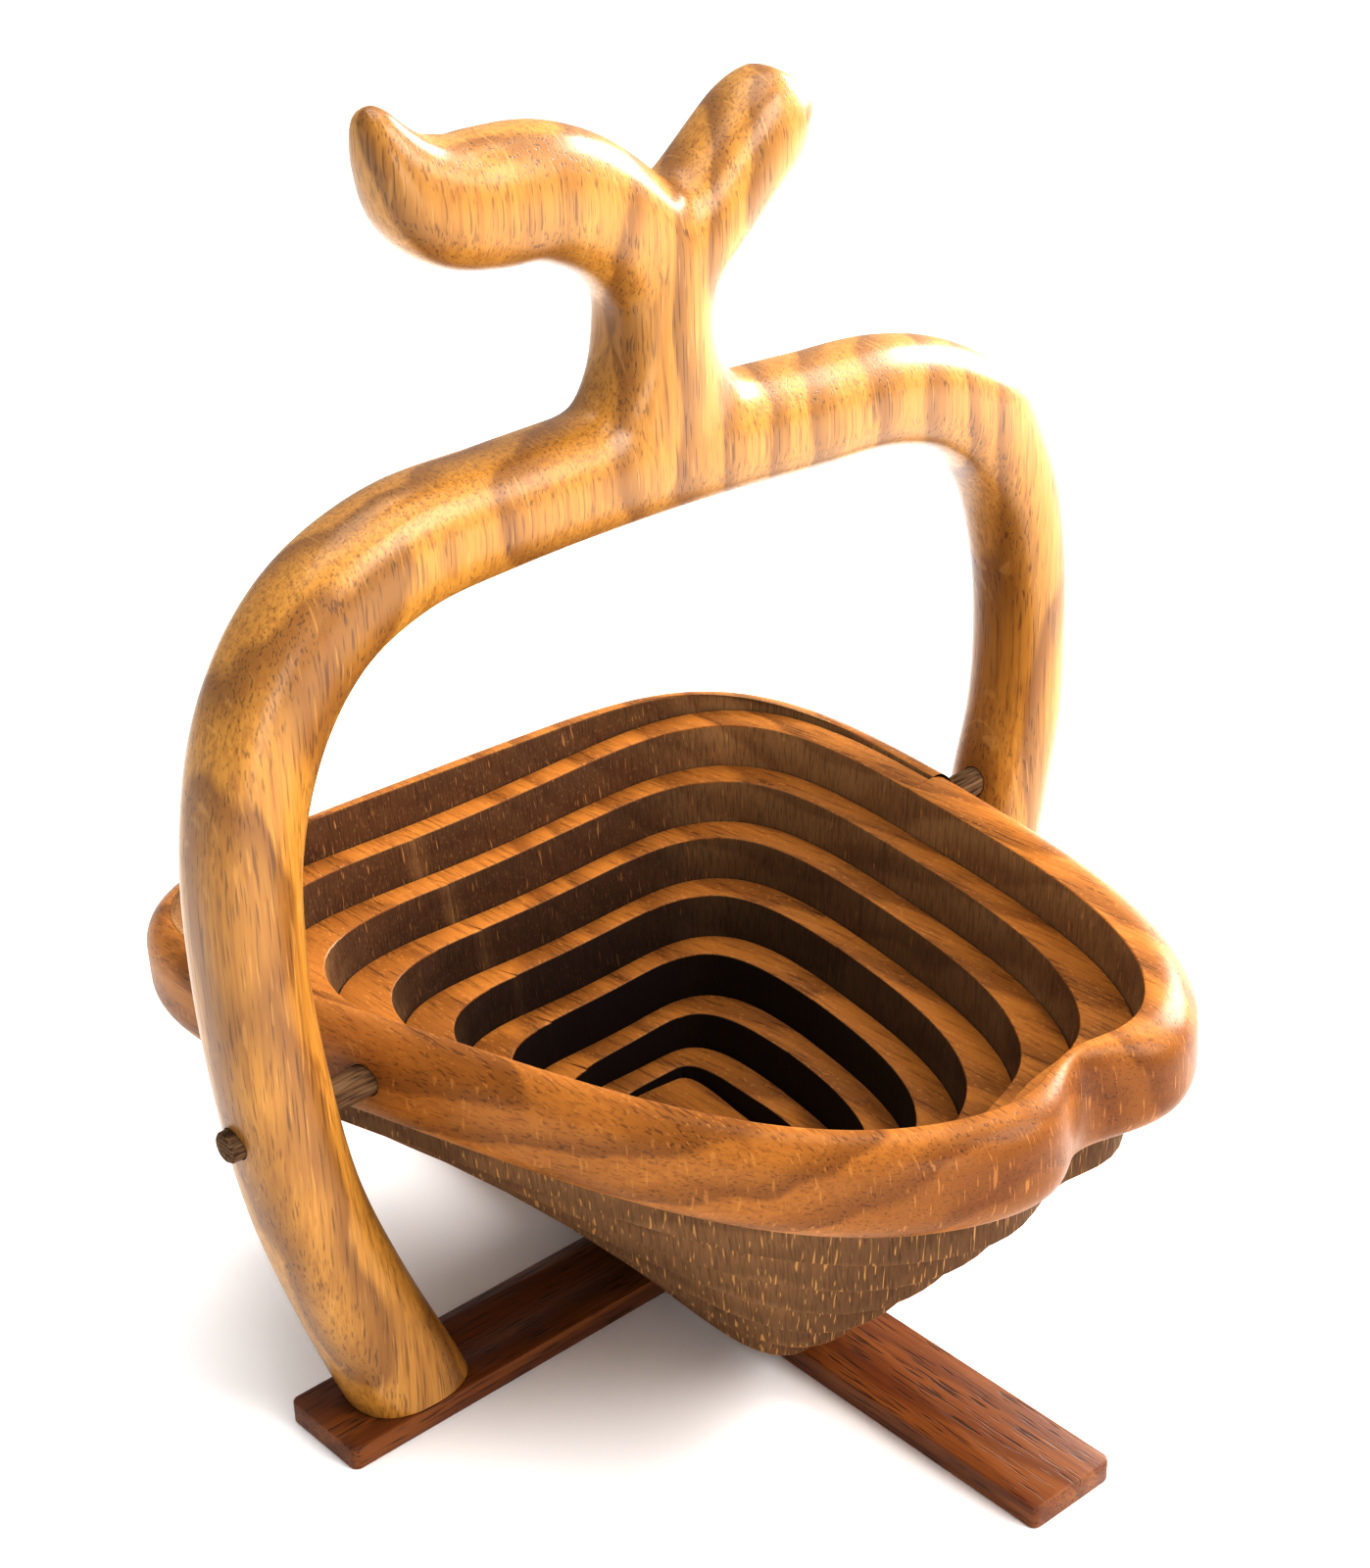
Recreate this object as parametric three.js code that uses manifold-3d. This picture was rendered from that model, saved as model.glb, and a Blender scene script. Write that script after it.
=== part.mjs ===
// A collapsible wooden basket, cut from one board of oak, standing on a base of two crossed bars.
// The handle is the outline of an apple with its stem and leaf. The basket hangs in it on two dowels:
// a rim with a bullnosed edge, and inside it one long spiral saw cut that lets the wood sink in turns.
// Millimetres. X runs from leg to leg, Y from the rim's dimpled front (-Y) to its back, and Z is up.
// The origin is on the floor, under the crossing of the two bars.
import * as THREE from "three";
import { mergeVertices } from "three/addons/utils/BufferGeometryUtils.js";
import Module from "manifold-3d";

const wasm = await Module();
wasm.setup();

// Driving dimensions
const board = 25.4; // thickness of the board that handle, rim and spiral are cut from
const clearance = 0.3; // between pieces that move or are laid against each other
const overrun = 5; // how far a cutter runs past what it cuts
const pivotHeight = 93.4; // dowel axis above the floor
const rimTilt = THREE.MathUtils.degToRad(3); // the rim's front stands this much higher than its back

// Base: two flat bars, halved into each other where they cross
const barWidth = 25.4;
const barThickness = 6.1;
const barPastFoot = 24.4; // from the middle of each foot to the base bar's end
const footBarLength = 266;
const barCorner = 2; // radius of the bars' corners in plan
const lapDepth = barThickness / 2;

// Pegs that stand in the base bar and locate the two legs
const pegRadius = 3.2;
const pegReach = 16; // into the leg
const pegInBar = 4.5; // into the bar

// Handle: a round-edged band whose middle line is given in shares of half the span and of the rise
const handleHalfSpan = 120;
const handleRise = 211.9; // from the top of the bars to the middle of the arch
const bandHalfWidth = 12.7;
const bandPower = 2.4; // 2 is an ellipse, more is squarer
const archShares = [
  // across, up, half-width of the band
  [-0.73, 0, 1.12],
  [-0.832, 0.151, 1.04],
  [-0.915, 0.302, 0.97],
  [-0.957, 0.443, 0.95],
  [-0.98, 0.608, 0.92],
  [-0.966, 0.75, 0.96],
  [-0.895, 0.872, 1.08],
  [-0.775, 0.952, 1.13],
  [-0.602, 0.993, 1.11],
  [-0.375, 1, 1.04],
  [-0.125, 1, 1.06],
  [0.125, 0.993, 1.05],
  [0.375, 0.981, 1.03],
  [0.567, 0.972, 1.03],
  [0.733, 0.943, 1.03],
  [0.862, 0.89, 1.02],
  [0.947, 0.81, 0.92],
  [0.993, 0.703, 0.82],
  [1.005, 0.594, 0.76],
  [0.995, 0.49, 0.8],
  [0.96, 0.405, 0.87],
  [0.918, 0.302, 0.94],
  [0.84, 0.151, 1.04],
  [0.747, 0, 1.12],
];

// Neck, stem and leaf stand on the arch. Across and up are shares of the crest's height.
const crestHeight = 88; // from the arch's middle line to the leaf's tip
const neckShares = [
  // across, up, half-width, half-depth
  [0, -0.03, 2.05, 0.9],
  [0, 0.1, 1.9, 0.95],
  [0, 0.165, 1.5, 1],
  [0, 0.24, 1.17, 1],
  [0, 0.33, 1.02, 1],
  [0.01, 0.42, 1.05, 1],
  [0.02, 0.5, 1.18, 1],
  [0.02, 0.575, 1.15, 0.97],
];
const stemShares = [
  [0.045, 0.45, 0.7, 0.95],
  [0.12, 0.525, 0.77, 1],
  [0.227, 0.608, 0.77, 0.97],
  [0.314, 0.682, 0.8, 0.93],
  [0.382, 0.74, 0.83, 0.88],
  [0.43, 0.785, 0.72, 0.74],
  [0.464, 0.818, 0.48, 0.5],
  [0.477, 0.832, 0.16, 0.16],
];
const leafShares = [
  [0, 0.49, 1.1, 0.95],
  [-0.11, 0.61, 1.08, 1],
  [-0.23, 0.695, 1.12, 1],
  [-0.355, 0.745, 1.13, 1],
  [-0.48, 0.765, 1.07, 1],
  [-0.595, 0.786, 0.97, 0.97],
  [-0.685, 0.84, 0.82, 0.88],
  [-0.745, 0.907, 0.6, 0.72],
  [-0.78, 0.975, 0.38, 0.52],
  [-0.795, 1.02, 0.24, 0.32],
  [-0.8, 1.04, 0.08, 0.1],
];
const bandSides = 20;
const bandStepsPerPoint = 3;

// Pivot dowels, held in the legs, on which the rim turns
const dowelRadius = 3.75;
const dowelProud = 2.2; // stands out of the leg's outer face
const dowelInRim = 6;

// Plans of the rim and of the spiral cut, seen square to the board. Each has four sides that run into
// each other, facing a direction in degrees, at a reach from the spiral's eye. With each turn of the cut
// a side comes in by its pitch and swings round a little. Reach and pitch are shares: of the handle's half
// span for the sides that face the legs, and of the rim's reach to the back for the other two.
const rimBack = 104.2;
const eye = { acrossShare: 0.0833, alongShare: -0.0768 };
const cutPower = 4.1; // 2 is an ellipse, more is squarer
const cutSides = [
  { faces: -8.5, swing: 1.6, size: handleHalfSpan, reachShare: 0.559, pitchShare: 0.0575 }, // right
  { faces: 91.8, swing: -0.8, size: rimBack, reachShare: 0.955, pitchShare: 0.0873 }, // back
  { faces: -165.5, swing: -2.5, size: handleHalfSpan, reachShare: 0.782, pitchShare: 0.0775 }, // left
  { faces: -89.8, swing: 3.1, size: rimBack, reachShare: 1.2035, pitchShare: 0.1238 }, // front
];
const rimPower = 3.2;
const rimSides = [
  { faces: -11.8, size: handleHalfSpan, reachShare: 0.646 }, // right
  { faces: 82.3, size: rimBack, reachShare: 1 }, // back
  { faces: -169.9, size: handleHalfSpan, reachShare: 0.816 }, // left
  { faces: -97.9, size: rimBack, reachShare: 1.2965 }, // front
];
const bullnose = 9; // radius of the rim's outer edges
const bullnoseSteps = 4;
const dimpleDepth = 10; // in the front of the rim
const dimpleHalfWidth = 13;
const dimpleAcrossShare = -0.05; // its place, as a share of the handle's half span
const dimpleLeftShare = 0.5; // of its depth is left in the cut, and again after each turn

// The spiral cut
const kerf = 1.4; // width of the saw cut
const fullTurns = 6;
const lastDropShare = 0.0834; // of the whole drop: the last half turn hardly sinks
const rampEnd = THREE.MathUtils.degToRad(106); // each turn has sunk by here, counted from the right pivot
const stepsPerTurn = 60;

// The bottom comes to rest level on the bars, while the rim leans. So each turn swings down a little from
// the one outside it, and all of them swing about one line far behind the basket.
const restLevel = barThickness + clearance;
const totalDrop = pivotHeight - board / 2 - restLevel;
const farLine = totalDrop / Math.sin(rimTilt); // from the pivots, along the rim's plane
const lastSwing = rimTilt * lastDropShare;
const turnSwing = (rimTilt - lastSwing) / fullTurns;
const turnDrop = (totalDrop * (1 - lastDropShare)) / fullTurns;
// The cut leans, so that a sunk turn jams against the one outside it
const bevel = (kerf - clearance) / turnDrop; // inwards, for each unit of depth
const wallSlant = board * bevel;

const half = Math.PI;
const fullCircle = 2 * Math.PI;

// Geometry helpers

// A closed body through rings of equally many points. Each end is closed by a fan about its own centre.
function loft(rings, startCentre = middleOf(rings[0]), endCentre = middleOf(rings.at(-1))) {
  const count = rings[0].length;
  const points = [...rings.flat(), startCentre, endCentre];
  const start = points.length - 2;
  const end = points.length - 1;
  const lastRing = (rings.length - 1) * count;
  const faces = [];
  for (let i = 0; i < count; i++) {
    const j = (i + 1) % count;
    for (let r = 0; r < rings.length - 1; r++) {
      const a = r * count;
      const b = a + count;
      faces.push(a + i, a + j, b + j, a + i, b + j, b + i);
    }
    faces.push(start, j, i, end, lastRing + i, lastRing + j);
  }
  const geometry = new THREE.BufferGeometry().setFromPoints(points);
  geometry.setIndex(faces);
  return geometry;
}

function middleOf(ring) {
  const sum = new THREE.Vector3();
  ring.forEach((point) => sum.add(point));
  return sum.divideScalar(ring.length);
}

function solid(geometry) {
  const bare = geometry.clone();
  bare.deleteAttribute("normal");
  bare.deleteAttribute("uv");
  const merged = mergeVertices(bare);
  const made = new wasm.Manifold(
    new wasm.Mesh({
      numProp: 3,
      vertProperties: merged.attributes.position.array,
      triVerts: new Uint32Array(merged.index.array),
    }),
  );
  return made;
}

function geometryOf(body) {
  const mesh = body.getMesh();
  const geometry = new THREE.BufferGeometry();
  geometry.setAttribute("position", new THREE.BufferAttribute(mesh.vertProperties, 3));
  geometry.setIndex(new THREE.BufferAttribute(mesh.triVerts, 1));
  return geometry;
}

function mesh(name, geometry, finish) {
  const shaded = geometry.index ? geometry.toNonIndexed() : geometry;
  shaded.computeVertexNormals();
  const made = new THREE.Mesh(shaded, new THREE.MeshStandardMaterial({ ...finish, metalness: 0 }));
  made.name = name;
  return made;
}

// A round bar along X from one place to the other
function barAlongX(from, to, radius, y, z) {
  const cylinder = new THREE.CylinderGeometry(radius, radius, to - from, 24);
  cylinder.rotateZ(half / 2);
  return cylinder.translate((from + to) / 2, y, z);
}

// A round bar along Z from one height to the other
function barAlongZ(from, to, radius, x) {
  const cylinder = new THREE.CylinderGeometry(radius, radius, to - from, 24);
  cylinder.rotateX(half / 2);
  return cylinder.translate(x, 0, (from + to) / 2);
}

function box(sizeX, sizeY, sizeZ, x, y, z) {
  return new THREE.BoxGeometry(sizeX, sizeY, sizeZ).translate(x, y, z);
}

// Base

function barPlan(length) {
  const x = length / 2;
  const y = barWidth / 2;
  const plan = new THREE.Shape();
  plan.moveTo(x - barCorner, -y);
  plan.absarc(x - barCorner, barCorner - y, barCorner, -half / 2, 0);
  plan.absarc(x - barCorner, y - barCorner, barCorner, 0, half / 2);
  plan.absarc(barCorner - x, y - barCorner, barCorner, half / 2, half);
  plan.absarc(barCorner - x, barCorner - y, barCorner, half, half * 1.5);
  return plan;
}

function flatBar(length) {
  return new THREE.ExtrudeGeometry(barPlan(length), {
    depth: barThickness,
    bevelEnabled: false,
    curveSegments: 3,
  });
}

// The notch that lets the other bar through, in the lower or the upper half of the bar
function lapNotch(centreZ) {
  const across = barWidth + 2 * clearance;
  return solid(box(across, barWidth + 2 * overrun, lapDepth + overrun, 0, 0, centreZ));
}

function baseBar() {
  const notch = lapNotch((lapDepth + clearance / 2 - overrun) / 2 + clearance / 4);
  const [left, right] = feet;
  const length = right.x - left.x + 2 * barPastFoot;
  const middle = (left.x + right.x) / 2;
  let bar = solid(flatBar(length).translate(middle, 0, 0)).subtract(notch);
  for (const foot of feet) {
    const hole = barAlongZ(foot.pegBottom - clearance, barThickness + overrun, pegRadius + clearance, foot.x);
    bar = bar.subtract(solid(hole));
  }
  return geometryOf(bar);
}

function footBar() {
  const notch = lapNotch(barThickness - (lapDepth - clearance - overrun) / 2);
  const bar = solid(flatBar(footBarLength)).subtract(notch);
  return geometryOf(bar).rotateZ(half / 2);
}

// Handle

const footLevel = barThickness + clearance;

function archPoint([across, up]) {
  return new THREE.Vector3(across * handleHalfSpan, 0, barThickness + up * handleRise);
}

function crestPoint([across, up]) {
  return new THREE.Vector3(across * crestHeight, 0, barThickness + handleRise + up * crestHeight);
}

const feet = [archShares[0], archShares.at(-1)].map((shares) => ({
  x: archPoint(shares).x,
  pegBottom: barThickness - pegInBar,
}));

// A value at share t along a row of values, passing smoothly through each
function along(values, t) {
  const place = t * (values.length - 1);
  const i = Math.min(Math.floor(place), values.length - 2);
  const f = place - i;
  const before = values[Math.max(i - 1, 0)];
  const after = values[Math.min(i + 2, values.length - 1)];
  const slopeHere = (values[i + 1] - before) / 2;
  const slopeNext = (after - values[i]) / 2;
  const rise = values[i + 1] - values[i];
  const bend = f * f * (3 - 2 * f);
  return values[i] + rise * bend + f * (1 - f) * ((1 - f) * slopeHere - f * slopeNext);
}

// A round-edged band along a line in the XZ plane, its width and depth given by rows of values
function band(line, halfWidths, halfDepths) {
  const curve = new THREE.CatmullRomCurve3(line, false, "centripetal");
  const steps = (line.length - 1) * bandStepsPerPoint;
  const rings = [];
  for (let step = 0; step <= steps; step++) {
    const t = step / steps;
    const centre = curve.getPoint(t);
    const tangent = curve.getTangent(t);
    const across = new THREE.Vector3(tangent.z, 0, -tangent.x);
    const halfWidth = along(halfWidths, t);
    const halfDepth = along(halfDepths, t);
    const ring = [];
    for (let side = 0; side < bandSides; side++) {
      const angle = (fullCircle * side) / bandSides;
      const u = halfWidth * softened(Math.cos(angle));
      const v = halfDepth * softened(Math.sin(angle));
      ring.push(centre.clone().addScaledVector(across, u).add(new THREE.Vector3(0, v, 0)));
    }
    rings.push(ring);
  }
  return solid(loft(rings));
}

function softened(value) {
  return Math.sign(value) * Math.abs(value) ** (2 / bandPower);
}

// The arch runs on below its feet, where it is sawn off level
function archBand() {
  const line = archShares.map(archPoint);
  const lead = [line[0], line.at(-1)].map((end, i) => {
    const inner = line[i ? line.length - 2 : 1];
    const run = end.clone().sub(inner).normalize();
    return end.clone().addScaledVector(run, bandHalfWidth);
  });
  const widths = archShares.map(([, , share]) => share * bandHalfWidth);
  const longer = [lead[0], ...line, lead[1]];
  const longerWidths = [widths[0], ...widths, widths.at(-1)];
  return band(longer, longerWidths, longer.map(() => board / 2));
}

function crestBand(shares) {
  const widths = shares.map(([, , share]) => share * bandHalfWidth);
  const depths = shares.map(([, , , share]) => (share * board) / 2);
  return band(shares.map(crestPoint), widths, depths);
}

function handleFrame() {
  const span = 2 * (handleHalfSpan + board);
  const depth = 2 * board;
  let frame = archBand();
  for (const shares of [neckShares, stemShares, leafShares]) frame = frame.add(crestBand(shares));
  frame = frame.subtract(solid(box(span, depth, board + overrun, 0, 0, footLevel - (board + overrun) / 2)));
  for (const foot of feet) {
    const top = barThickness + pegReach + clearance;
    frame = frame.subtract(solid(barAlongZ(-overrun, top, pegRadius + clearance, foot.x)));
  }
  for (const dowel of dowels) {
    const hole = barAlongX(dowel.legFrom, dowel.legTo, dowelRadius + clearance, 0, pivotHeight);
    frame = frame.subtract(solid(hole));
  }
  return geometryOf(frame);
}

// Rim and spiral, drawn in the board's own frame: X across, Y up the board to its back, Z square to it

const eyeX = eye.acrossShare * handleHalfSpan;
const eyeY = eye.alongShare * rimBack;

// How far an outline of four sides lies from the eye in a direction
function planRadius(angle, sides, power) {
  let sum = 0;
  for (const side of sides) {
    const facing = Math.cos(angle - THREE.MathUtils.degToRad(side.faces));
    if (facing > 0) sum += (facing / side.reach) ** power;
  }
  return sum ** (-1 / power);
}

// The dimple's depth at a place in an outline's front, a share of its full depth
function dimpleAt(angle, radius, share) {
  if (Math.sin(angle) > 0) return 0;
  const across = eyeX + radius * Math.cos(angle) - dimpleAcrossShare * handleHalfSpan;
  return share * dimpleDepth * Math.exp(-((across / dimpleHalfWidth) ** 2));
}

function planPoint(angle, radius, z) {
  return new THREE.Vector3(eyeX + radius * Math.cos(angle), eyeY + radius * Math.sin(angle), z);
}

// The saw cut's outer side after so many turns from the right pivot, further in by an inset
function cutRadius(turns, inset) {
  const angle = turns * fullCircle;
  const sides = cutSides.map((side) => ({
    faces: side.faces + side.swing * turns,
    reach: side.size * (side.reachShare - side.pitchShare * turns) - inset,
  }));
  const radius = planRadius(angle, sides, cutPower);
  return radius - dimpleAt(angle, radius, dimpleLeftShare ** (turns + 1 / 4));
}

// The rim's outer outline, with its dimple, further in by an inset
function rimRadius(angle, inset) {
  const sides = rimSides.map(({ faces, size, reachShare }) => ({ faces, reach: size * reachShare - inset }));
  const radius = planRadius(angle, sides, rimPower);
  return radius - dimpleAt(angle, radius, 1);
}

// How far a place on a turn has sunk, as a share: it follows the line from the ramp's start to its end
function sunkShare(turn, angle, point) {
  if (angle >= rampEnd) return 1;
  const startTurns = turn - 1;
  const endTurns = startTurns + rampEnd / fullCircle;
  const start = planPoint(0, cutRadius(startTurns, 0), 0);
  const line = planPoint(rampEnd, cutRadius(endTurns, 0), 0).sub(start);
  const share = point.clone().setZ(0).sub(start).dot(line) / line.lengthSq();
  return THREE.MathUtils.smoothstep(share, 0, 1);
}

// Swings a place in the flat board down about the far line
function swungDown(point, swing) {
  const fromLine = point.y - farLine;
  const y = farLine + fromLine * Math.cos(swing) - point.z * Math.sin(swing);
  const z = fromLine * Math.sin(swing) + point.z * Math.cos(swing);
  return new THREE.Vector3(point.x, y, z);
}

// How far a turn has swung down at a place on it
function turnSwingAt(turn, angle, point) {
  const ownSwing = turn > fullTurns ? lastSwing : turnSwing;
  return (turn - 1) * turnSwing + ownSwing * sunkShare(turn, angle, point);
}

// One section across a turn, square-edged, with both walls leaning inwards towards the underside
function turnSection(turn, angle) {
  const outside = turn - 1 + angle / fullCircle;
  const inside = outside + 1;
  const corners = [
    [cutRadius(inside, wallSlant), -board / 2],
    [cutRadius(inside, 0), board / 2],
    [cutRadius(outside, kerf), board / 2],
    [cutRadius(outside, kerf + wallSlant), -board / 2],
  ];
  return corners.map(([radius, z]) => {
    const point = planPoint(angle, radius, z);
    return swungDown(point, turnSwingAt(turn, angle, point));
  });
}

// A turn from just past the right pivot, round the back, to where it ends
function spiralTurn(turn, endAngle) {
  const startAngle = clearance / cutRadius(turn, wallSlant);
  const steps = Math.round((stepsPerTurn * endAngle) / fullCircle);
  const rings = [];
  for (let step = 0; step <= steps; step++) {
    rings.push(turnSection(turn, startAngle + ((endAngle - startAngle) * step) / steps));
  }
  return loft(rings);
}

// What is left inside the last cut: half of it lies inside the last half turn, half inside the turn before
function bottomPanel() {
  const stepGap = clearance / cutRadius(fullTurns + 3 / 2, kerf + wallSlant);
  const ring = (inset, z) => {
    const points = [];
    for (let step = 0; step <= stepsPerTurn; step++) {
      const angle = (fullCircle * step) / stepsPerTurn;
      const inner = fullTurns + 1 + angle / fullCircle;
      const outer = inner - 1;
      if (angle <= half) points.push(planPoint(angle, cutRadius(inner, inset), z));
      if (angle === half) points.push(planPoint(angle + stepGap, cutRadius(outer, inset), z));
      if (angle > half && angle < fullCircle) points.push(planPoint(angle, cutRadius(outer, inset), z));
    }
    return points.map((point) => swungDown(point, rimTilt));
  };
  const centre = (z) => swungDown(new THREE.Vector3(eyeX, eyeY, z), rimTilt);
  const low = -board / 2;
  const high = board / 2;
  return loft([ring(kerf + wallSlant, low), ring(kerf, high)], centre(low), centre(high));
}

function rimBody() {
  const rings = [];
  const layer = (inset, z) => {
    const ring = [];
    for (let step = 0; step < 2 * stepsPerTurn; step++) {
      const angle = (fullCircle * step) / (2 * stepsPerTurn);
      ring.push(planPoint(angle, rimRadius(angle, inset), z));
    }
    return ring;
  };
  const profile = [];
  for (let step = 0; step <= bullnoseSteps; step++) {
    const turn = ((half / 2) * step) / bullnoseSteps;
    profile.push([bullnose * (1 - Math.sin(turn)), board / 2 - bullnose * (1 - Math.cos(turn))]);
  }
  for (const [inset, z] of profile) rings.unshift(layer(inset, z));
  for (const [inset, z] of [...profile].reverse()) rings.unshift(layer(inset, -z));
  const centre = (z) => new THREE.Vector3(eyeX, eyeY, z);
  return solid(loft(rings, centre(-board / 2), centre(board / 2)));
}

// The space inside the first turn of the cut, as a body that runs past both faces of the board
function rimHollow() {
  const ring = (past) => {
    const z = past * (board / 2 + overrun);
    const inset = (board / 2 - z) * bevel;
    const points = [];
    for (let step = 0; step <= stepsPerTurn; step++) {
      const turns = step / stepsPerTurn;
      points.push(planPoint(turns * fullCircle, cutRadius(turns, inset), z));
    }
    return points;
  };
  const centre = (past) => new THREE.Vector3(eyeX, eyeY, past * (board / 2 + overrun));
  return solid(loft([ring(-1), ring(1)], centre(-1), centre(1)));
}

function basketRim() {
  let rim = rimBody().subtract(rimHollow());
  for (const dowel of dowels) {
    const hole = barAlongX(dowel.rimFrom, dowel.rimTo, dowelRadius + clearance, 0, 0);
    rim = rim.subtract(solid(hole));
  }
  return geometryOf(rim);
}

// Dowels: where each leg's faces and the rim's outer wall lie at the pivot's height

const wallSamples = 720;

function legAtPivot(side) {
  const curve = new THREE.CatmullRomCurve3(archShares.map(archPoint), false, "centripetal");
  const samples = curve.getPoints(archShares.length * 20);
  const onSide = samples.filter((point) => Math.sign(point.x) === side);
  const gap = (point) => Math.abs(point.z - pivotHeight);
  return onSide.reduce((best, point) => (gap(point) < gap(best) ? point : best)).x;
}

function rimWallAtPivot(side) {
  const angles = Array.from({ length: wallSamples }, (_, i) => (fullCircle * i) / wallSamples);
  const points = angles.map((angle) => planPoint(angle, rimRadius(angle, 0), 0));
  const onSide = points.filter((point) => Math.sign(point.x) === side);
  return onSide.reduce((best, point) => (Math.abs(point.y) < Math.abs(best.y) ? point : best)).x;
}

const dowels = [-1, 1].map((side) => {
  const leg = legAtPivot(side);
  const rimWall = rimWallAtPivot(side);
  const outer = leg + side * (bandHalfWidth + dowelProud);
  const inner = rimWall - side * dowelInRim;
  const sorted = (a, b) => [Math.min(a, b), Math.max(a, b)];
  const [from, to] = sorted(outer, inner);
  const [legFrom, legTo] = sorted(leg - side * board, leg + side * board);
  const [rimFrom, rimTo] = sorted(inner - side * clearance, rimWall + side * overrun);
  return { side, from, to, legFrom, legTo, rimFrom, rimTo };
});

// Finishes
const oak = { color: 0xa96a2c, roughness: 0.35 };
const sawnOak = { color: 0x7d5230, roughness: 0.6 };
const darkBar = { color: 0x6f3418, roughness: 0.4 };
const dowelEnd = { color: 0x5c4630, roughness: 0.7 };

// Assembly
const basket = new THREE.Group();

const base = new THREE.Group();
base.add(mesh("base_bar", baseBar(), darkBar), mesh("foot_bar", footBar(), darkBar));
feet.forEach((foot, i) => {
  const peg = barAlongZ(foot.pegBottom, barThickness + pegReach, pegRadius, foot.x);
  base.add(mesh(i ? "right_leg_peg" : "left_leg_peg", peg, dowelEnd));
});

const handle = new THREE.Group();
handle.add(mesh("handle_frame", handleFrame(), oak));
for (const dowel of dowels) {
  const name = dowel.side < 0 ? "left_pivot_dowel" : "right_pivot_dowel";
  handle.add(mesh(name, barAlongX(dowel.from, dowel.to, dowelRadius, 0, pivotHeight), dowelEnd));
}

const rim = new THREE.Group();
rim.position.z = pivotHeight;
rim.rotation.x = -rimTilt;
rim.add(mesh("basket_rim", basketRim(), oak));
for (let turn = 1; turn <= fullTurns + 1; turn++) {
  const endAngle = turn > fullTurns ? half : fullCircle;
  rim.add(mesh(`spiral_turn_${turn}`, spiralTurn(turn, endAngle), sawnOak));
}
rim.add(mesh("bottom_panel", bottomPanel(), sawnOak));

basket.add(base, handle, rim);

export default basket;
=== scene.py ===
"""Looks of a collapsible basket cut from one board of oak.

The handle is the outline of an apple with its stem and leaf. It stands on two crossed bars, and a rim
hangs in it on two dowels. Inside the rim one long spiral saw cut lets the wood sink in turns to a bowl.

Everything is in metres in the model's own frame: X runs from leg to leg, Y from the rim's dimpled front (-Y)
to its back, and Z is up. The origin is on the floor, under the crossing of the two bars.
"""

import logging
import math
from collections.abc import Callable, Iterator, Sequence
from contextlib import contextmanager
from dataclasses import dataclass, field, replace
from enum import Enum

import bmesh
import bpy
import numpy as np
from mathutils import Matrix, Vector

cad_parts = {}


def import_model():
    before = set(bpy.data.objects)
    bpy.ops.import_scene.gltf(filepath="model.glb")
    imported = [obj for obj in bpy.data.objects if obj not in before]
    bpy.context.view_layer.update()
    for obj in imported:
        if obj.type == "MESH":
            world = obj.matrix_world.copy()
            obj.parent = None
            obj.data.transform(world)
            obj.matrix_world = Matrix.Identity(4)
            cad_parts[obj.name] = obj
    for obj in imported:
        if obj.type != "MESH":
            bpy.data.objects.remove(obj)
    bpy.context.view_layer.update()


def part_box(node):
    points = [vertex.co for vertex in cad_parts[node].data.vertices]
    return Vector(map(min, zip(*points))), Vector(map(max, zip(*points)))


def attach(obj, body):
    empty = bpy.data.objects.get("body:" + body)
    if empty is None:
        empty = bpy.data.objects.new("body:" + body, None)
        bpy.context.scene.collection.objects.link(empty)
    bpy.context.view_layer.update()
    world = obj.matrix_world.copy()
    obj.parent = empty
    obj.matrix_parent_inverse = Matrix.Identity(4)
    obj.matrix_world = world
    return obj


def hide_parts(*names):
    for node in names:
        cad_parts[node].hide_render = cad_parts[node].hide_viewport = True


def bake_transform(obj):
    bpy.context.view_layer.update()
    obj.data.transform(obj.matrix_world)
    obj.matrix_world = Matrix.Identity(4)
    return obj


logger = logging.getLogger("basket")

MM = 0.001
FULL_CIRCLE = 2 * math.pi
BOARD_PLACE = "board_place"
END_GRAIN = "end_grain"
# Name of the mesh attribute for the painted shade that darkens the inner walls, the more the deeper they lie.
PAINTED_DEPTH_SHADE = "painted_depth_shade"

HALF_SPAN = 120 * MM
RIM_BACK = 104.2 * MM
BAR_THICKNESS = 6.1 * MM
DOWEL_BORE_RADIUS = 4.05 * MM
PEG_RADIUS = 3.5 * MM
BORE_SIDES = 32

# Where two faces meet at more than these angles, the edge between them is shaded sharp.
SHARP_SAWN = math.radians(25)
SHARP_BAR = math.radians(30)
SHARP_ROUND = math.radians(50)

# Above this share of an upright normal, a face counts as level.
LEVEL_SHARE = 0.5


class Place(Enum):
    """Where a wood pattern is read from."""

    OBJECT = "the place in the model"
    BOARD = "the place in the flat board, before it was sawn and sunk"


class Grain(Enum):
    """The direction in which the grain runs, as the turn that brings it to the pattern's own Z."""

    ALONG_X = (0.0, -math.pi / 2, 0.0)
    ALONG_Y = (math.pi / 2, 0.0, 0.0)
    ALONG_Z = (0.0, 0.0, 0.0)


def linear(colour: str) -> tuple[float, float, float, float]:
    """Turns an sRGB hex colour into linear light.

    Args:
        colour: Six hex digits behind a hash sign.

    Returns:
        Red, green, blue and full opacity.
    """
    shares = [int(colour[i : i + 2], 16) / 255 for i in (1, 3, 5)]
    red, green, blue = (s / 12.92 if s <= 0.04045 else ((s + 0.055) / 1.055) ** 2.4 for s in shares)
    return red, green, blue, 1.0


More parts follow.
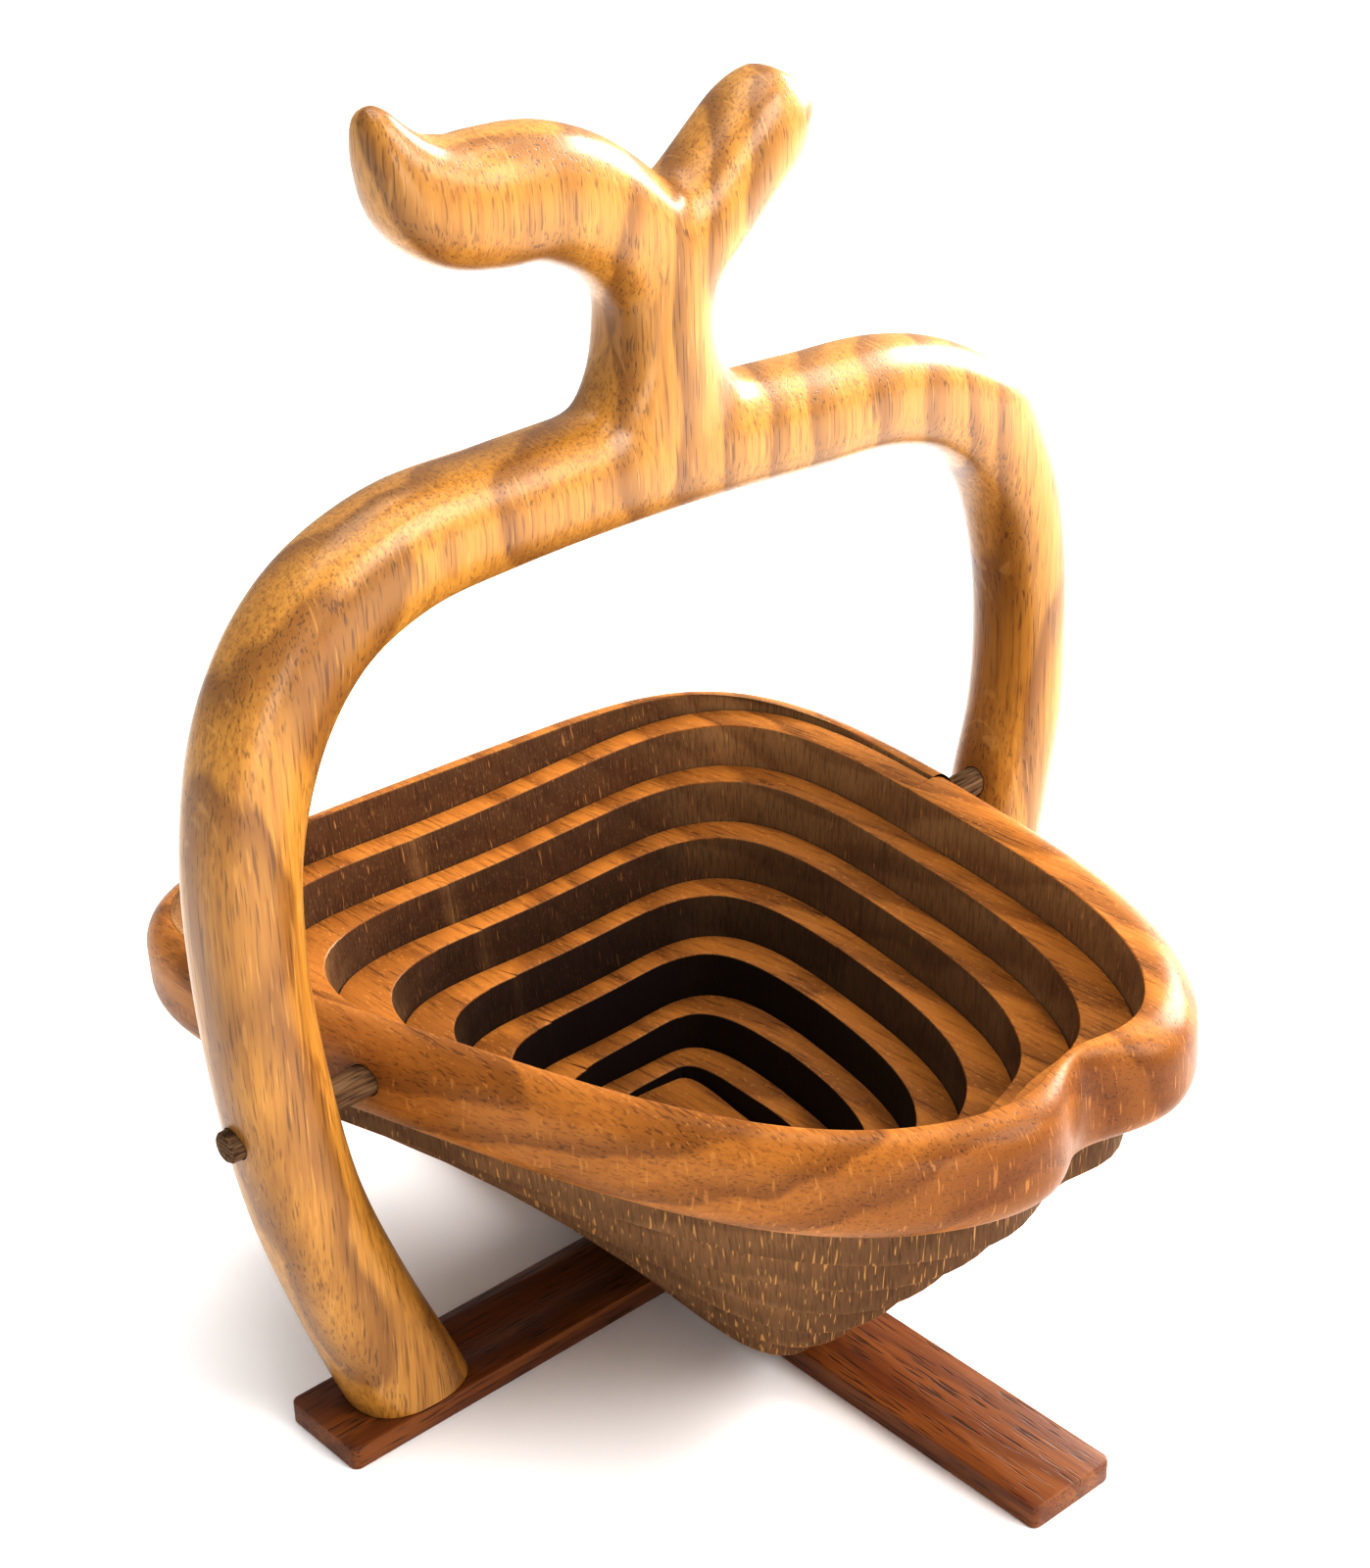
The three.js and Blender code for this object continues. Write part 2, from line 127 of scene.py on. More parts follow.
def add_node(
    tree: bpy.types.NodeTree,
    kind: str,
    inputs: dict | Sequence = (),
    output: int | str = 0,
    **settings: object,
) -> bpy.types.NodeSocket | None:
    """Adds one node with its settings, values and links.

    Args:
        tree: The node tree that it goes into.
        kind: The node's type name.
        inputs: Values or sockets for its inputs, in their order or by name or number. Of several inputs with
            one name, the live one is meant.
        output: The name or number of the output that is asked for.
        settings: The node's own properties.

    Returns:
        That output, or nothing where the node has none.
    """
    node = tree.nodes.new(kind)
    for name, value in settings.items():
        setattr(node, name, value)
    for key, value in inputs.items() if isinstance(inputs, dict) else enumerate(inputs):
        socket = node.inputs[key]
        if not socket.enabled:
            socket = next(other for other in node.inputs if other.name == key and other.enabled)
        if isinstance(value, bpy.types.NodeSocket):
            tree.links.new(value, socket)
        else:
            socket.default_value = value
    return node.outputs[output] if node.outputs else None


def mesh_object(name: str, points: np.ndarray, faces: Sequence[Sequence[int]]) -> bpy.types.Object:
    """Makes a mesh object at the origin.

    Args:
        name: The object's name.
        points: Its vertices, one row each.
        faces: Its faces as rows of vertex numbers.

    Returns:
        The object, linked to the scene.
    """
    mesh = bpy.data.meshes.new(name)
    rows = [tuple(map(float, point)) for point in points]
    mesh.from_pydata(rows, [], [tuple(map(int, face)) for face in faces])
    mesh.validate()
    made = bpy.data.objects.new(name, mesh)
    bpy.context.scene.collection.objects.link(made)
    return made


def ring_faces(rings: int, count: int) -> list[list[int]]:
    """Joins closed rings of points, which follow each other, to a body with both ends closed.

    Args:
        rings: How many rings there are.
        count: How many points each has.

    Returns:
        The faces.
    """
    last = (rings - 1) * count
    faces = [list(range(count))[::-1], list(range(last, last + count))]
    for here in range(0, last, count):
        for i in range(count):
            j = (i + 1) % count
            faces.append([here + i, here + j, here + count + j, here + count + i])
    return faces


@contextmanager
def edited(obj: bpy.types.Object) -> Iterator[bmesh.types.BMesh]:
    """Opens an object's mesh for editing, and writes it back afterwards.

    Args:
        obj: The mesh object.

    Yields:
        The mesh to edit.
    """
    work = bmesh.new()
    work.from_mesh(obj.data)
    yield work
    work.to_mesh(obj.data)
    work.free()


def point_out(obj: bpy.types.Object) -> None:
    """Turns the faces of an object's closed mesh outwards."""
    with edited(obj) as work:
        bmesh.ops.recalc_face_normals(work, faces=work.faces)


def smooth_below(obj: bpy.types.Object, angle: float) -> None:
    """Shades a mesh smoothly, with its edges above an angle kept sharp."""
    obj.data.shade_smooth()
    obj.data.set_sharp_from_angle(angle=angle)


def make_plain(obj: bpy.types.Object) -> None:
    """Turns an object's modifiers into plain mesh and takes them off.

    Args:
        obj: The object with its live modifiers.
    """
    graph = bpy.context.evaluated_depsgraph_get()
    plain = bpy.data.meshes.new_from_object(
        obj.evaluated_get(graph), preserve_all_data_layers=True, depsgraph=graph
    )
    obj.modifiers.clear()
    obj.data = plain


def dress(obj: bpy.types.Object, finish: bpy.types.Material) -> None:
    """Gives a whole object one finish."""
    obj.data.materials.clear()
    obj.data.materials.append(finish)


def stand_for(piece: bpy.types.Object, node: str) -> None:
    """Lets a finished piece stand for a node, and reports it.

    Args:
        piece: The piece.
        node: The node that it takes the place of.
    """
    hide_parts(node)
    logger.info("%s: %d faces", piece.name, len(piece.data.polygons))


def cut_away(obj: bpy.types.Object, cutters: Sequence[bpy.types.Object]) -> None:
    """Cuts bodies out of an object and removes them from the scene.

    Args:
        obj: The closed mesh that is cut.
        cutters: The closed meshes that are taken out of it.
    """
    for cutter in cutters:
        step = obj.modifiers.new("bore", "BOOLEAN")
        step.operation = "DIFFERENCE"
        step.solver = "EXACT"
        step.object = cutter
    make_plain(obj)
    for cutter in cutters:
        bpy.data.objects.remove(cutter, do_unlink=True)


def turned_bar(
    name: str, start: Vector, end: Vector, profile: Sequence[tuple[float, float]], sides: int = 48
) -> bpy.types.Object:
    """Turns a profile round a line, closed at both ends.

    Args:
        name: The object's name.
        start: Where the line begins.
        end: Where it ends.
        profile: Rows of share along the line and radius.
        sides: How many sides the turning has.

    Returns:
        The object.
    """
    line = end - start
    across = line.orthogonal().normalized()
    beside = line.cross(across).normalized()
    angles = [FULL_CIRCLE * side / sides for side in range(sides)]
    spokes = [across * math.cos(angle) + beside * math.sin(angle) for angle in angles]
    points = [start + line * share + spoke * radius for share, radius in profile for spoke in spokes]
    made = mesh_object(name, np.array(points), ring_faces(len(profile), sides))
    point_out(made)
    return made


def drilled(start: Sequence[float], end: Sequence[float], radius: float) -> bpy.types.Object:
    """Makes the round body that a drill takes out between two points."""
    return turned_bar("bore", Vector(start), Vector(end), [(0, radius), (1, radius)], BORE_SIDES)


@dataclass(frozen=True)
class Pattern:
    """A stretched noise in the wood, and the colour that it lays over what is below it.

    Sizes are in millimetres: across the grain, through the board's thickness and along the grain.
    """

    across: float
    through: float
    along: float
    low: float
    high: float
    colour: str
    share: float
    detail: float = 2.0
    in_rings: float = 0.0
    relief: float = 0.0


@dataclass(frozen=True)
class WoodFinish:
    """A wood, with its growth rings, its layers of grain, and the way its surface was made.

    The pith's place and the warp of the rings are in metres, and the other sizes are in millimetres. The
    rings rise and fade at shares of their width.
    """

    name: str
    place: Place
    grain: Grain
    colour: str
    ring_colour: str
    ring_share: float
    ring_width: float
    pith: tuple[float, float]
    ring_warp: float
    layers: tuple[Pattern, ...]
    roughness: float
    coat: float = 0.0
    coat_roughness: float = 0.1
    specular: float = 0.4
    ior: float = 1.5
    bump: float = 0.3
    relief_depth: float = 0.4
    end_colour: str = "#000000"
    end_share: float = 0.0
    end_range: tuple[float, float] = (0.45, 0.97)
    # Painted shade: a dark colour laid over the wood where the painted depth shade attribute is set, at this
    # share.
    painted_shade_colour: str = "#000000"
    painted_shade_share: float = 0.0
    warp_size: tuple[float, float, float] = (55, 55, 110)
    warp_detail: float = 3.0
    ring_rise: float = 0.12
    ring_fade: tuple[float, float] = (0.15, 0.75)

    def build(self) -> bpy.types.Material:
        """Builds the material.

        Returns:
            The finished material.
        """
        material = bpy.data.materials.new(self.name)
        material.use_nodes = True
        tree = material.node_tree
        tree.nodes.clear()
        if self.place is Place.OBJECT:
            source = add_node(tree, "ShaderNodeTexCoord", output="Object")
        else:
            source = add_node(tree, "ShaderNodeAttribute", output="Vector", attribute_name=BOARD_PLACE)
        turned = add_node(tree, "ShaderNodeMapping", {"Vector": source, "Rotation": self.grain.value})
        rings = self._rings(tree, turned)
        overlays = [(rings, self.ring_colour)]
        if self.end_share:
            cut = add_node(tree, "ShaderNodeAttribute", output="Fac", attribute_name=END_GRAIN)
            low, high = self.end_range
            darker = {"Value": cut, "From Min": low, "From Max": high, "To Max": self.end_share}
            overlays.append((add_node(tree, "ShaderNodeMapRange", darker), self.end_colour))
        height: object = 0.0
        for layer in self.layers:
            marks = self._marks(tree, turned, rings, layer)
            amount = add_node(tree, "ShaderNodeMath", (marks, layer.share), operation="MULTIPLY")
            overlays.append((amount, layer.colour))
            if layer.relief:
                relief = (marks, layer.relief, height)
                height = add_node(tree, "ShaderNodeMath", relief, operation="MULTIPLY_ADD")
        # Painted shade: darkens the colour as far as the painted depth shade attribute asks.
        if self.painted_shade_share:
            painted_depth_shade = add_node(tree, "ShaderNodeAttribute", output="Fac", attribute_name=PAINTED_DEPTH_SHADE)
            amount = add_node(tree, "ShaderNodeMath", (painted_depth_shade, self.painted_shade_share), operation="MULTIPLY")
            overlays.append((amount, self.painted_shade_colour))
        colour: object = linear(self.colour)
        for amount, over in overlays:
            mixing = {0: amount, 6: colour, 7: linear(over)}
            colour = add_node(tree, "ShaderNodeMix", mixing, output=2, data_type="RGBA")
        raising = {"Height": height, "Strength": self.bump, "Distance": self.relief_depth * MM}
        surface = {
            "Base Color": colour,
            "Roughness": self.roughness,
            "Coat Weight": self.coat,
            "Coat Roughness": self.coat_roughness,
            "Specular IOR Level": self.specular,
            "IOR": self.ior,
            "Normal": add_node(tree, "ShaderNodeBump", raising),
        }
        shader = add_node(tree, "ShaderNodeBsdfPrincipled", surface)
        add_node(tree, "ShaderNodeOutputMaterial", {"Surface": shader})
        return material

    def _marks(
        self,
        tree: bpy.types.NodeTree,
        turned: bpy.types.NodeSocket,
        rings: bpy.types.NodeSocket,
        layer: Pattern,
    ) -> bpy.types.NodeSocket:
        """Draws the marks of one layer of grain.

        Args:
            tree: The material's node tree.
            turned: The place, with the grain along Z.
            rings: How much ring colour shows.
            layer: The pattern of the marks.

        Returns:
            How strong the marks are, from 0 to 1.
        """
        scale = tuple(1 / (size * MM) for size in (layer.across, layer.through, layer.along))
        stretched = add_node(tree, "ShaderNodeMapping", {"Vector": turned, "Scale": scale})
        drawing = {"Vector": stretched, "Scale": 1.0, "Detail": layer.detail}
        noise = add_node(tree, "ShaderNodeTexNoise", drawing)
        picking = {"Value": noise, "From Min": layer.low, "From Max": layer.high}
        marks = add_node(tree, "ShaderNodeMapRange", picking)
        if not layer.in_rings:
            return marks
        denser = (rings, layer.in_rings / self.ring_share, 1 - layer.in_rings)
        share = add_node(tree, "ShaderNodeMath", denser, operation="MULTIPLY_ADD")
        return add_node(tree, "ShaderNodeMath", (marks, share), operation="MULTIPLY")

    def _rings(self, tree: bpy.types.NodeTree, turned: bpy.types.NodeSocket) -> bpy.types.NodeSocket:
        """Draws growth rings about the pith, bent by a slow noise that is stretched along the grain.

        Args:
            tree: The material's node tree.
            turned: The place, with the grain along Z.

        Returns:
            How much ring colour shows, from 0 to 1.
        """
        kind, vector = "ShaderNodeMath", "ShaderNodeVectorMath"
        scale = tuple(1 / (size * MM) for size in self.warp_size)
        slow = add_node(tree, "ShaderNodeMapping", {"Vector": turned, "Scale": scale})
        drawing = {"Vector": slow, "Scale": 1.0, "Detail": self.warp_detail}
        bend = add_node(tree, "ShaderNodeTexNoise", drawing, output=1)
        centred = add_node(tree, vector, (bend, (0.5,) * 3), operation="SUBTRACT")
        warping = (centred, (self.ring_warp,) * 3, turned)
        moved = add_node(tree, vector, warping, operation="MULTIPLY_ADD")
        away = add_node(tree, vector, (moved, (*self.pith, 0.0)), operation="SUBTRACT")
        flat = add_node(tree, vector, (away, (1, 1, 0)), operation="MULTIPLY")
        radius = add_node(tree, vector, (flat,), output="Value", operation="LENGTH")
        counting = (radius, 1 / (self.ring_width * MM))
        count = add_node(tree, kind, counting, operation="MULTIPLY")
        phase = add_node(tree, kind, (count,), operation="FRACT")
        edge = add_node(tree, "ShaderNodeMapRange", {"Value": phase, "From Max": self.ring_rise})
        start, end = self.ring_fade
        fading = {"Value": phase, "From Min": start, "From Max": end, "To Min": self.ring_share, "To Max": 0}
        fade = add_node(tree, "ShaderNodeMapRange", fading, interpolation_type="SMOOTHSTEP")
        return add_node(tree, kind, (edge, fade), operation="MULTIPLY")


# Oak, shaped with a router and sanded round, then oiled and varnished: a warm honey colour, dark pore streaks
# along the grain, and a soft gloss on the rounded edges.
VARNISHED_HANDLE = WoodFinish(
    name="varnished_oak_handle",
    place=Place.OBJECT,
    grain=Grain.ALONG_Z,
    colour="#B08038",
    ring_colour="#6B4218",
    ring_share=0.7,
    ring_width=13.0,
    pith=(-0.07, 0.055),
    ring_warp=0.05,
    layers=(
        Pattern(26, 26, 60, 0.42, 0.72, "#8A5A26", 0.3, detail=1.5),
        Pattern(1.1, 1.1, 80, 0.45, 0.75, "#7E5020", 0.65, detail=2.5),
        Pattern(0.5, 0.5, 16, 0.57, 0.67, "#4A2B10", 0.65, detail=1.0, in_rings=0.35, relief=-0.7),
        Pattern(0.7, 7, 10, 0.66, 0.74, "#C89A58", 0.25, detail=0.5),
    ),
    roughness=0.42,
    coat=0.5,
    coat_roughness=0.26,
    specular=0.3,
)

# The same board and varnish on the rim and on the turns' upper and lower faces, with the grain from front to
# back. Where the grain is cut across, in the rim's front, it drank more oil and is darker.
VARNISHED_BOARD = WoodFinish(
    name="varnished_oak_board",
    place=Place.BOARD,
    grain=Grain.ALONG_Y,
    colour="#A66E30",
    ring_colour="#623812",
    ring_share=0.6,
    ring_width=11.0,
    pith=(-0.02, 0.05),
    ring_warp=0.045,
    layers=(
        Pattern(24, 24, 60, 0.42, 0.72, "#7E5226", 0.45, detail=1.5),
        Pattern(1.3, 1.3, 50, 0.45, 0.75, "#7C4A1E", 0.5, detail=2.5),
        Pattern(0.5, 0.5, 10, 0.58, 0.67, "#40220C", 0.6, detail=1.0, in_rings=0.4, relief=-0.7),
        Pattern(0.5, 5, 1.5, 0.66, 0.74, "#C08A4C", 0.35, detail=0.5),
    ),
    roughness=0.46,
    coat=0.17,
    coat_roughness=0.26,
    specular=0.14,
    end_colour="#562A0A",
    end_share=0.75,
)

# The walls of the saw cut, bare oak straight from a narrow blade: matte and browner, with the blade's fine
# marks across the board's thickness and thin light flecks where the rays of the wood are cut through. Darker
# where the blade cut across the grain. On the inner walls a painted shade darkens the colour, the more the
# deeper they lie: it stands in for the shade that falls deep in the bowl.
SAWN_WALL = WoodFinish(
    name="sawn_oak_wall",
    place=Place.BOARD,
    grain=Grain.ALONG_Y,
    colour="#9A764E",
    ring_colour="#6A482A",
    ring_share=0.4,
    ring_width=11.0,
    pith=(-0.02, 0.05),
    ring_warp=0.045,
    layers=(
        Pattern(18, 18, 28, 0.4, 0.7, "#6A4426", 0.4, detail=2.0),
        Pattern(0.5, 16, 0.5, 0.45, 0.75, "#3A2010", 0.45, detail=1.5, relief=-0.6),
        Pattern(0.5, 1.3, 1.1, 0.60, 0.70, "#9A7850", 0.25, detail=1.0),
        Pattern(0.5, 6, 1.0, 0.72, 0.78, "#C08C54", 0.5, detail=0.3),
    ),
    roughness=0.75,
    bump=0.4,
    specular=0.15,
    end_colour="#3A1C0C",
    end_share=0.85,
    # Painted shade of the deep inner walls.
    painted_shade_colour="#120402",
    painted_shade_share=0.97,
)

# The outsides of the turns, sawn alike but without the painted depth shade: greyer, with thin, light, upright
# flecks of the rays.
SAWN_OUTSIDE = replace(
    SAWN_WALL,
    name="sawn_oak_outside",
    colour="#7C5C3E",
    ring_colour="#5A4028",
    layers=(
        Pattern(18, 18, 28, 0.4, 0.7, "#5C4028", 0.4, detail=2.0),
        Pattern(0.5, 16, 0.5, 0.45, 0.75, "#33200F", 0.45, detail=1.5, relief=-0.6),
        Pattern(0.35, 9, 0.8, 0.67, 0.74, "#C09258", 0.6, detail=0.2),
    ),
    end_colour="#4C3320",
    end_share=0.8,
)

# Thin oak slats with a dark red-brown stain under a satin varnish: long streaks and darker pores.
STAINED_BASE_BAR = WoodFinish(
    name="stained_oak_base_bar",
    place=Place.OBJECT,
    grain=Grain.ALONG_X,
    colour="#7C4A20",
    ring_colour="#4A200C",
    ring_share=0.5,
    ring_width=7.0,
    pith=(-0.03, 0.02),
    ring_warp=0.02,
    layers=(
        Pattern(12, 12, 50, 0.42, 0.72, "#5F2C12", 0.5, detail=1.5),
        Pattern(1.2, 1.2, 50, 0.45, 0.75, "#52240E", 0.6, detail=2.5),
        Pattern(0.6, 0.6, 12, 0.57, 0.66, "#2A1206", 0.75, detail=1.0, relief=-1.0),
    ),
    roughness=0.42,
    coat=0.08,
    coat_roughness=0.25,
    specular=0.25,
)

# The same slat, with its grain along the bar that runs from front to back.
STAINED_FOOT_BAR = replace(STAINED_BASE_BAR, name="stained_oak_foot_bar", grain=Grain.ALONG_Y)

# Bare dowel stock that has gone grey-brown, matte, with dark end grain.
BARE_DOWEL = WoodFinish(
    name="bare_oak_dowel",
    place=Place.OBJECT,
    grain=Grain.ALONG_X,
    colour="#6B5036",
    ring_colour="#2E1D10",
    ring_share=0.6,
    ring_width=1.1,
    pith=(-0.003, 0.001),
    ring_warp=0.004,
    layers=(
        Pattern(0.5, 0.5, 6, 0.48, 0.62, "#2C1B0E", 0.75, detail=1.5, relief=-1.0),
        Pattern(1.8, 1.8, 12, 0.5, 0.7, "#8C7356", 0.4, detail=1.0),
    ),
    roughness=0.8,
    specular=0.2,
)


@dataclass(frozen=True)
class Softbox:
    """A square lamp that faces the middle of the basket, with its side in metres and its power in watts."""

    name: str
    place: tuple[float, float, float]
    side: float
    power: float

    def hang(self, aim: Vector) -> None:
        """Hangs the lamp and turns it.

        Args:
            aim: The place that it shines at.
        """
        lamp = bpy.data.lights.new(self.name, "AREA")
        lamp.size = self.side
        lamp.energy = self.power
        hung = bpy.data.objects.new(self.name, lamp)
        hung.location = self.place
        hung.rotation_euler = (aim - Vector(self.place)).to_track_quat("-Z", "Y").to_euler()
        bpy.context.scene.collection.objects.link(hung)


@dataclass(frozen=True)
class Studio:
    """The camera at the photograph's place, the pale floor and the soft lights."""

    place: tuple[float, float, float] = (-0.4002, -0.4673, 0.4741)
    azimuth: float = -0.715145
    elevation: float = 0.505946
    roll: float = -0.028499
    focal_pixels: float = 3073.0
    long_side_pixels: float = 1600.0
    sensor_mm: float = 36.0
    floor_size: float = 14.0
    floor_colour: str = "#FAFAFA"
    floor_roughness: float = 0.9
    room_colour: str = "#FFFFFF"
    room_light: float = 0.45
    exposure: float = 0.75
    gamma: float = 0.75
    aim: tuple[float, float, float] = (0, 0, 0.12)
    softboxes: tuple[Softbox, ...] = (
        Softbox("overhead_softbox", (0.1, 0.1, 1.4), 1.1, 10.0),
        Softbox("low_softbox", (-0.5, -1.15, 0.24), 0.46, 2.7),
        Softbox("front_softbox", (0.4, -1.05, 0.95), 0.8, 13.0),
        Softbox("right_softbox", (1.2, 0.0, 0.62), 0.7, 25.0),
    )

    def make(self) -> None:
        """Makes the camera, the floor, the world's light and the lamps."""
        self._camera()
        self._floor()
        self._world()
        for softbox in self.softboxes:
            softbox.hang(Vector(self.aim))
        settings = bpy.context.scene.view_settings
        settings.view_transform = "Standard"
        settings.look = "None"
        settings.exposure = self.exposure
        settings.gamma = self.gamma

    def _camera(self) -> None:
        """Places the camera, with its turn built from azimuth, elevation and roll."""
        back = Vector(
            (
                math.sin(self.azimuth) * math.cos(self.elevation),
                -math.cos(self.azimuth) * math.cos(self.elevation),
                math.sin(self.elevation),
            )
        )
        level = (-back).cross(Vector((0, 0, 1))).normalized()
        rise = level.cross(-back)
        right = level * math.cos(self.roll) + rise * math.sin(self.roll)
        up = rise * math.cos(self.roll) - level * math.sin(self.roll)
        lens = bpy.data.cameras.new("photo_camera")
        lens.sensor_width = self.sensor_mm
        lens.lens = self.focal_pixels / self.long_side_pixels * lens.sensor_width
        camera = bpy.data.objects.new("photo_camera", lens)
        turn = Matrix((right, up, back)).transposed().to_4x4()
        camera.matrix_world = Matrix.Translation(self.place) @ turn
        bpy.context.scene.collection.objects.link(camera)
        bpy.context.scene.camera = camera

    def _floor(self) -> None:
        """Lays the pale floor."""
        reach = self.floor_size / 2
        corners = [(-reach, -reach, 0), (reach, -reach, 0), (reach, reach, 0), (-reach, reach, 0)]
        floor = mesh_object("floor", np.array(corners), [[0, 1, 2, 3]])
        material = bpy.data.materials.new("matt_white_paper")
        material.use_nodes = True
        shader = material.node_tree.nodes["Principled BSDF"]
        shader.inputs["Base Color"].default_value = linear(self.floor_colour)
        shader.inputs["Roughness"].default_value = self.floor_roughness
        floor.data.materials.append(material)

    def _world(self) -> None:
        """Fills the room with even white light."""
        world = bpy.data.worlds.new("white_room")
        world.use_nodes = True
        background = world.node_tree.nodes["Background"]
        background.inputs["Color"].default_value = linear(self.room_colour)
        background.inputs["Strength"].default_value = self.room_light
        bpy.context.scene.world = world


@dataclass(frozen=True)
class Side:
    """One side of an outline: the direction it faces, its reach, and how both change with each turn.

    Reach and pitch are shares of a size: of the handle's half span for the sides that face the legs, and of
    the rim's reach to the back for the other two. Directions are in degrees.
    """

    faces: float
    size: float
    reach_share: float
    swing: float = 0.0
    pitch_share: float = 0.0

    @property
    def reach(self) -> float:
        """How far the side lies from the eye."""
        return self.size * self.reach_share

    @property
    def pitch(self) -> float:
        """How far it comes in with each turn."""
        return self.size * self.pitch_share


@dataclass(frozen=True)
class Board:
    """The board that rim and spiral are sawn from, and the plans of its cuts, seen square to it."""

    thickness: float = 25.4 * MM
    pivot_height: float = 93.4 * MM
    tilt: float = math.radians(3)
    rest_level: float = 6.4 * MM
    eye: tuple[float, float] = (0.0833 * HALF_SPAN, -0.0768 * RIM_BACK)
    cut_power: float = 3.7
    cut_sides: tuple[Side, ...] = (
        Side(-9.5, HALF_SPAN, 0.5927, -0.3, 0.0731),
        Side(84.7, RIM_BACK, 0.9403, -0.6, 0.0873),
        Side(-165.5, HALF_SPAN, 0.7841, -3.2, 0.0814),
        Side(-91.4, RIM_BACK, 1.2516, 4.5, 0.1441),
    )
    rim_power: float = 3.4
    rim_sides: tuple[Side, ...] = (
        Side(-9.5, HALF_SPAN, 0.655),
        Side(85.8, RIM_BACK, 1.0077),
        Side(-166.8, HALF_SPAN, 0.808),
        Side(-87.6, RIM_BACK, 1.2453),
    )
    dimple_across: float = 0.0765 * HALF_SPAN
    dimple_depth: float = 13 * MM
    dimple_half_width: float = 15 * MM
    dimple_share: float = 0.58
    dimple_lead: float = 0.25
    kerf: float = 1.4 * MM
    clearance: float = 0.3 * MM
    full_turns: int = 6
    last_drop_share: float = 0.0834
    ramp_end: float = math.radians(106)

    @property
    def drop(self) -> float:
        """How far the bottom sinks below the flat board."""
        return self.pivot_height - self.thickness / 2 - self.rest_level

    @property
    def far_line(self) -> float:
        """How far behind the pivots the line lies about which every turn swings."""
        return self.drop / math.sin(self.tilt)

    @property
    def last_swing(self) -> float:
        """How far the last half turn swings."""
        return self.tilt * self.last_drop_share

    @property
    def turn_swing(self) -> float:
        """How far each full turn swings below the one outside it."""
        return (self.tilt - self.last_swing) / self.full_turns

    @property
    def bevel(self) -> float:
        """How far the saw's wall leans inwards for each unit of depth."""
        return (self.kerf - self.clearance) / (self.drop * (1 - self.last_drop_share) / self.full_turns)

    def dimple(self, angle: np.ndarray, radius: np.ndarray, share: np.ndarray | float) -> np.ndarray:
        """Gives the dimple's depth at a place in an outline's front.

        Args:
            angle: Direction from the eye.
            radius: Distance from the eye.
            share: How much of the dimple's full depth is left there.

        Returns:
            The depth, 0 at the back.
        """
        across = self.eye[0] + radius * np.cos(angle) - self.dimple_across
        depth = share * self.dimple_depth * np.exp(-((across / self.dimple_half_width) ** 2))
        return np.where(np.sin(angle) > 0, 0.0, depth)

    def _outline(
        self,
        sides: tuple[Side, ...],
        power: float,
        angle: np.ndarray,
        turns: np.ndarray | float,
        inset: np.ndarray | float,
    ) -> np.ndarray:
        """Gives an outline whose sides run into each other, before the dimple.

        Args:
            sides: The sides.
            power: How sharply they meet.
            angle: Directions from the eye.
            turns: Turns from where the sides begin to swing and to come in.
            inset: How much further in it is asked for.

        Returns:
            The distances from the eye.
        """
        total = np.zeros(np.broadcast(angle, inset).shape)
        for side in sides:
            facing = np.cos(angle - np.radians(side.faces + side.swing * turns))
            reach = side.reach - side.pitch * turns - inset
            total = total + (np.maximum(facing, 0) / reach) ** power
        return total ** (-1 / power)

    def cut_radius(self, turns: np.ndarray | float, inset: np.ndarray | float = 0.0) -> np.ndarray:
        """Gives the saw cut's outer side, after so many turns from the right pivot.

        Args:
            turns: Turns from where the cut begins.
            inset: How much further in it is asked for.

        Returns:
            The distance from the eye.
        """
        turns = np.asarray(turns, float)
        angle = turns * FULL_CIRCLE
        radius = self._outline(self.cut_sides, self.cut_power, angle, turns, inset)
        return radius - self.dimple(angle, radius, self.dimple_share ** (turns + self.dimple_lead))

    def rim_radius(self, angle: np.ndarray, inset: np.ndarray | float = 0.0) -> np.ndarray:
        """Gives the rim's outer outline, with its dimple, further in by an inset.

        Args:
            angle: Direction from the eye.
            inset: How much further in it is asked for.

        Returns:
            The distance from the eye.
        """
        radius = self._outline(self.rim_sides, self.rim_power, angle, 0.0, inset)
        return radius - self.dimple(angle, radius, 1.0)

    def flat_place(self, angle: np.ndarray, radius: np.ndarray, height: np.ndarray) -> np.ndarray:
        """Gives places in the flat board.

        Args:
            angle: Their directions from the eye.
            radius: Their distances from it.
            height: Their heights above the board's middle.

        Returns:
            The places, with X, Y and Z along the last axis.
        """
        angle, radius, height = np.broadcast_arrays(angle, radius, height)
        x = self.eye[0] + radius * np.cos(angle)
        y = self.eye[1] + radius * np.sin(angle)
        return np.stack([x, y, height], axis=-1)

    def swung_down(self, flat: np.ndarray, swing: np.ndarray | float) -> np.ndarray:
        """Swings places down about the far line.

        Args:
            flat: Places in the flat board.
            swing: How far they swing.

        Returns:
            The places in the board's frame, sunk.
        """
        from_line = flat[..., 1] - self.far_line
        y = self.far_line + from_line * np.cos(swing) - flat[..., 2] * np.sin(swing)
        z = from_line * np.sin(swing) + flat[..., 2] * np.cos(swing)
        return np.stack([flat[..., 0], y, z], axis=-1)

    def in_basket(self, place: np.ndarray) -> np.ndarray:
        """Tilts places and lifts them to the pivots.

        Args:
            place: Places in the board's frame.

        Returns:
            The places in the basket.
        """
        cosine, sine = math.cos(self.tilt), math.sin(self.tilt)
        y = place[..., 1] * cosine + place[..., 2] * sine
        z = place[..., 2] * cosine - place[..., 1] * sine + self.pivot_height
        return np.stack([place[..., 0], y, z], axis=-1)

